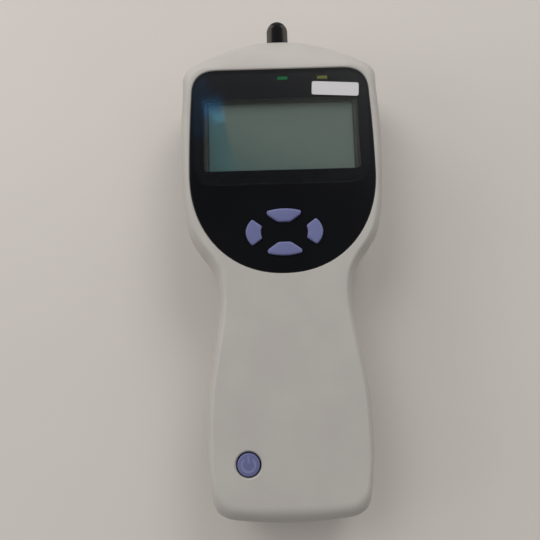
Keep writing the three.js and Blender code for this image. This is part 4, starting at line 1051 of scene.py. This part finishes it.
def make_panel():
    form = layered(panel_outline, [
        (0.0, PANEL_BOTTOM_Z),
        (0.0, PANEL_TOP_Z - PANEL_EDGE),
        (-PANEL_EDGE * PANEL_EDGE_SHARE, PANEL_TOP_Z - PANEL_EDGE * PANEL_EDGE_SHARE),
        (-PANEL_EDGE, PANEL_TOP_Z),
    ])
    low, high = PANEL_BOTTOM_Z - SHORT_OVERRUN, PANEL_TOP_Z + SHORT_OVERRUN
    holes = [prism(window_outline(0.0), low, high)]
    holes += [prism(indicator_outline(x, LIGHT_BAR_FIT), low, high) for x in INDICATOR_X.values()]
    holes += [prism(outline(GAP), low, high) for outline in KEY_OUTLINES.values()]
    form = cut(form, gathered(*holes))
    finished(form, "panel_sheet", PANEL_GLOSS, HOUSING, "panel_gloss", "display_panel",
             angle=PANEL_SMOOTH_ANGLE)


def make_window():
    """The clear window. Its side faces are given dark plastic, a painted shade that stands in for the dark
    panel seen through them.
    """
    form = prism(window_outline(-HAIR), PANEL_BOTTOM_Z, PANEL_TOP_Z)
    lens = finished(form, "window_lens", WINDOW_CLEAR, HOUSING, "clear_lens", "display_window")
    # Painted shade: the clear sides take the dark plastic in place of what they would reflect.
    lens.data.materials.append(DARK_PLASTIC)
    for face in lens.data.polygons:
        if abs(face.normal.z) < SIDE_NORMAL_Z:
            face.material_index = 1


LCD_OPEN_HALF = 27.75
LCD_OPEN_Y = (29.459, 57.249)
LCD_OPEN_CORNER = 0.6
LCD_OPEN_SLOPE = 0.5
LCD_TOP_SLOPE = 0.85
LCD_LIP_LOW_Z = 35.6
LCD_SLOPE_LOW_Z = 35.7
LCD_MARGIN = 1.8
LCD_WALL = 0.9
LCD_EDGE = 0.2


def lcd_opening_outline(grow):
    """The bezel's opening, with a wider slope at the top than at the other sides."""
    y = (LCD_OPEN_Y[0] - grow, LCD_OPEN_Y[1] + grow * LCD_TOP_SLOPE / LCD_OPEN_SLOPE)
    return rounded_box((-LCD_OPEN_HALF - grow, LCD_OPEN_HALF + grow), y, LCD_OPEN_CORNER + grow)


def make_lcd_bezel():
    half = WINDOW_HALF + LCD_MARGIN
    y = (WINDOW_LOW_Y - LCD_MARGIN, WINDOW_HIGH_Y + LCD_MARGIN)
    form = box((-half, half), y, LCD_FRAME_Z, LCD_EDGE)
    low_z = LCD_FRAME_Z[0] - SHORT_OVERRUN
    opening = layered(lcd_opening_outline, [
        (0.0, low_z - SHORT_OVERRUN),
        (0.0, LCD_SLOPE_LOW_Z),
        (LCD_OPEN_SLOPE, LCD_FRAME_Z[1]),
        (LCD_OPEN_SLOPE, LCD_FRAME_Z[1] + SHORT_OVERRUN),
    ])
    inner = half - LCD_WALL
    pocket = box((-inner, inner), (y[0] + LCD_WALL, y[1] - LCD_WALL), (low_z, LCD_LIP_LOW_Z))
    finished(cut(form, pocket, opening), "lcd_bezel", DARK_PLASTIC, HOUSING, "dark_plastic", "lcd_frame")


FILM_Z = 39.05
FILM_THICKNESS = 0.1
FILM_HALF = 33.35
FILM_Y = (24.399, 68.399)
FILM_CORNER = 8.4
FILM_CORNER_STEPS = 10
LABEL_PLACE = (21.2, 61.349, 39.2)
LABEL_HALF = (9.0, 2.7)
LABEL_CORNER = 0.9
LABEL_TURN = -3.5


def make_film():
    outline = rounded_box((-FILM_HALF, FILM_HALF), FILM_Y, FILM_CORNER, FILM_CORNER_STEPS)
    form = prism(outline, FILM_Z, FILM_Z + FILM_THICKNESS)
    finished(form, "clear_film", FILM_CLEAR, HOUSING, "clear_lens", "screen_film")


def make_label():
    outline = rounded_box((-LABEL_HALF[0], LABEL_HALF[0]), (-LABEL_HALF[1], LABEL_HALF[1]), LABEL_CORNER)
    form = move(turn_about(prism(outline, 0.0, FILM_THICKNESS), "Z", LABEL_TURN), LABEL_PLACE)
    finished(form, "blank_sticker", LABEL_PAPER, HOUSING, "label_paper", "film_label")


LIGHT_BAR_LOW_Z = 33.4


def make_indicators():
    for colour, material in (("green", GREEN_LENS), ("yellow", YELLOW_LENS)):
        x = INDICATOR_X[colour]
        form = prism(indicator_outline(x, 0.0), LIGHT_BAR_LOW_Z, PANEL_TOP_Z - HAIR)
        slot = f"{colour}_lens"
        finished(form, f"{colour}_light_bar", material, HOUSING, slot, f"{colour}_indicator")


make_panel()
make_window()
make_lcd_bezel()
make_film()
make_label()
make_indicators()


# Keys. A crown is how far the rounded edge draws in and how far it lies below the top, step by step.
KEY_CROWN = ((0.0, 0.6), (0.1, 0.3), (0.3, 0.12), (0.55, 0.03), (0.9, 0.0))
KEY_SMOOTH_ANGLE = 50.0


def make_direction_keys():
    for side, outline in KEY_OUTLINES.items():
        form = layered(outline, [
            (KEY_FLANGE, KEY_FLANGE_Z),
            (KEY_FLANGE, TRAY_TOP_Z),
            (0.0, TRAY_TOP_Z),
            *[(-inset, KEY_TOP_Z - drop) for inset, drop in KEY_CROWN],
        ])
        finished(form, f"{side}_key_cap", KEY_PLASTIC, f"{side}_key_body", "key_plastic", f"{side}_key",
                 angle=KEY_SMOOTH_ANGLE)


POWER_RADIUS = 3.95
POWER_TOP_Z = 39.3
POWER_CROWN = ((0.0, 0.4), (0.1, 0.18), (0.3, 0.05), (0.6, 0.0))
POWER_DISH = 0.02
POWER_FLANGE = 5.3
POWER_FLANGE_Z = (35.5, 36.7)
POWER_STEM_RADIUS = 1.5
POWER_STEM_Z = 30.8
MARK_RADIUS = 2.35
MARK_WIDTH = 0.7
MARK_GAP = 38.0
MARK_HEIGHT = 0.03
MARK_SINK = 0.1
MARK_BAR = (0.6, 3.15)
MARK_STEPS = 40


def make_power_key():
    form = upright([
        (0.0, POWER_STEM_Z),
        (POWER_STEM_RADIUS, POWER_STEM_Z),
        (POWER_STEM_RADIUS, POWER_FLANGE_Z[0]),
        (POWER_FLANGE, POWER_FLANGE_Z[0]),
        (POWER_FLANGE, POWER_FLANGE_Z[1]),
        (POWER_RADIUS, POWER_FLANGE_Z[1]),
        *[(POWER_RADIUS - inset, POWER_TOP_Z - drop) for inset, drop in POWER_CROWN],
        (0.0, POWER_TOP_Z - POWER_DISH),
    ], POWER_X, POWER_Y, FINE_STEPS)
    finished(form, "power_key_cap", POWER_PLASTIC, "power_key_body", "power_plastic", "power_key")


def make_power_mark():
    """A plain power symbol: a ring open at the top, and a bar in the gap."""
    low = POWER_TOP_Z - MARK_SINK
    high = POWER_TOP_Z + MARK_HEIGHT
    arc = bmesh.new()
    start = math.radians(90 + MARK_GAP)
    inner, outer = MARK_RADIUS - MARK_WIDTH / 2, MARK_RADIUS + MARK_WIDTH / 2
    corners = [arc.verts.new((radius * math.cos(start), radius * math.sin(start), z))
               for radius, z in ((inner, low), (outer, low), (outer, high), (inner, high))]
    face = arc.faces.new(corners)
    sweep = math.radians(360 - 2 * MARK_GAP)
    bmesh.ops.spin(arc, geom=[face, *face.edges, *face.verts], axis=Z_AXIS, cent=ORIGIN, dvec=ORIGIN,
                   angle=sweep, steps=MARK_STEPS)
    bmesh.ops.recalc_face_normals(arc, faces=arc.faces)
    bar = box((-MARK_WIDTH / 2, MARK_WIDTH / 2), MARK_BAR, (low, high))
    form = move(gathered(arc, bar), (POWER_X, POWER_Y, 0.0))
    finished(form, "power_key_mark", POWER_MARK, "power_key_body", "power_plastic")


make_direction_keys()
make_power_key()
make_power_mark()


# Probe
NOSE_RADIUS = 4.4
NOSE_BASE_Y = 84.0
NOSE_BORE = 3.7
NOSE_BORE_END_Y = 94.4
NOSE_EDGE = 0.25
PORT_RADIUS = 0.85
DOME_STEPS = 16


def make_nose_cone():
    dome_y = NOSE_TIP_Y - math.sqrt(NOSE_RADIUS ** 2 - PORT_RADIUS ** 2)
    profile = [
        (NOSE_BORE, NOSE_BASE_Y),
        (NOSE_RADIUS - NOSE_EDGE, NOSE_BASE_Y),
        (NOSE_RADIUS, NOSE_BASE_Y + NOSE_EDGE),
    ]
    last = math.acos(PORT_RADIUS / NOSE_RADIUS)
    for step in range(DOME_STEPS + 1):
        turn = last * step / DOME_STEPS
        profile.append((NOSE_RADIUS * math.cos(turn), dome_y + NOSE_RADIUS * math.sin(turn)))
    profile += [(PORT_RADIUS, NOSE_BORE_END_Y), (NOSE_BORE, NOSE_BORE_END_Y), (NOSE_BORE, NOSE_BASE_Y)]
    form = lengthwise(profile, 0.0, PARTING_Z, FINE_STEPS)
    finished(form, "nose_cone_tip", NOSE_PLASTIC, "nose_body", "nose_plastic", "nose_cone")


make_nose_cone()


# Table, world and lamps, in metres
TABLE_SIZE = 3.0
TABLE_TOP_Z = -0.0002


def make_table():
    finish = Finish("table_top_pale", (198, 193, 188), 0.6)
    finish.colour(finish.noise(6.0, detail=2.0), (0.3, (196, 191, 186)), (0.7, (200, 195, 190)))
    finish.hidden_from_behind()
    form = bmesh.new()
    bmesh.ops.create_grid(form, x_segments=1, y_segments=1, size=TABLE_SIZE)
    move(form, (0.0, 0.0, TABLE_TOP_Z))
    floor = to_object(form, "table_top")
    floor.data.materials.append(finish.material)


WORLD_COLOUR = (0.9, 0.88, 0.86, 1.0)
WORLD_LIGHT = 0.72
FAR_SIDE_SHARE = 0.7
FAR_SIDE_WAY = (-0.206, 0.938, 0.28)
CAP_WAY = (-0.139, 0.026, 0.99)
CAP_LIGHT = 0.03
CAP_EDGE = (45.0, 16.0)
HORIZON_EDGE = (-0.02, 0.0)


def make_world():
    """A bright room, darker towards the grip end, dark overhead and, but for the camera, below the table."""
    world = bpy.data.worlds.new("room")
    bpy.context.scene.world = world
    world.use_nodes = True
    tree = world.node_tree
    way = add_node(tree, "TexCoord", {}).outputs["Generated"]

    def along(direction):
        return add_node(tree, "VectorMath", {0: way, 1: direction}, "DOT_PRODUCT").outputs["Value"]

    def spread(value, start, end, low, high):
        spans = {"Value": value, "From Min": start, "From Max": end, "To Min": low, "To Max": high}
        return add_node(tree, "MapRange", spans)

    def both(operation, first, second):
        return add_node(tree, "Math", {0: first, 1: second}, operation).outputs["Value"]

    wide, narrow = (math.cos(math.radians(edge)) for edge in CAP_EDGE)
    cap = spread(along(CAP_WAY), wide, narrow, WORLD_LIGHT, CAP_LIGHT)
    cap.interpolation_type = "SMOOTHSTEP"
    far = spread(along(FAR_SIDE_WAY), -1.0, 1.0, 1.0 - FAR_SIDE_SHARE, 1.0 + FAR_SIDE_SHARE)
    above = spread(along(Z_AXIS), *HORIZON_EDGE, 0.0, 1.0)
    room = both("MULTIPLY", cap.outputs["Result"], far.outputs["Result"])
    room = both("MULTIPLY", room, above.outputs["Result"])
    seen = add_node(tree, "LightPath", {}).outputs["Is Camera Ray"]
    fill(tree, tree.nodes["Background"], {"Color": WORLD_COLOUR, "Strength": both("MAXIMUM", room, seen)})


ROOM_WHITE = (1.0, 0.99, 0.98)
BLUE = (0.02, 0.42, 1.0)
PALE_BLUE = (0.15, 0.63, 1.0)
MIRRORED_AT = (-0.0256, 0.0538, 0.0391)

# Round lamps by name, place, width and power in watts, then oblong panes with a colour as well
ROOM_LAMPS = [
    ("left_ceiling_light", (-0.375, 0.375, 0.848), 0.45, 2.2),
    ("right_ceiling_light", (0.293, 0.634, 0.714), 0.45, 2.45),
    ("left_low_light", (-0.883, 0.0, 0.469), 0.45, 1.21),
    ("far_left_low_light", (-0.624, 0.624, 0.469), 0.45, 1.07),
    ("back_light", (0.2, -0.3, -0.8), 0.8, 3.0),
]
PANES = [
    ("blue_pane", (-0.0815, 0.3065, 0.581), (0.03, 0.026), 0.0021, BLUE),
    ("pale_pane", (-0.0725, 0.2918, 0.5855), (0.016, 0.0115), 0.00072, PALE_BLUE),
    ("blue_wall", (-0.1, 0.31, 0.587), (0.045, 0.085), 0.0024, BLUE),
]


def lamp(name, place, aim, power, colour, mirrored):
    data = bpy.data.lights.new(name, "AREA")
    data.energy = power
    data.color = colour
    made = bpy.data.objects.new(name, data)
    bpy.context.scene.collection.objects.link(made)
    made.location = place
    made.rotation_mode = "QUATERNION"
    made.rotation_quaternion = (Vector(place) - Vector(aim)).to_track_quat("Z", "Y")
    made.visible_glossy = mirrored
    made.visible_transmission = mirrored
    return data


def make_lamps():
    """Round lamps that shiny parts don't mirror, and small oblong panes that the display does."""
    for name, place, size, power in ROOM_LAMPS:
        data = lamp(name, place, ORIGIN, power, ROOM_WHITE, False)
        data.shape = "DISK"
        data.size = size
    for name, place, size, power, colour in PANES:
        data = lamp(name, place, MIRRORED_AT, power, colour, True)
        data.shape = "RECTANGLE"
        data.size, data.size_y = size


make_table()
make_world()
make_lamps()

bpy.context.scene.view_settings.view_transform = "Standard"
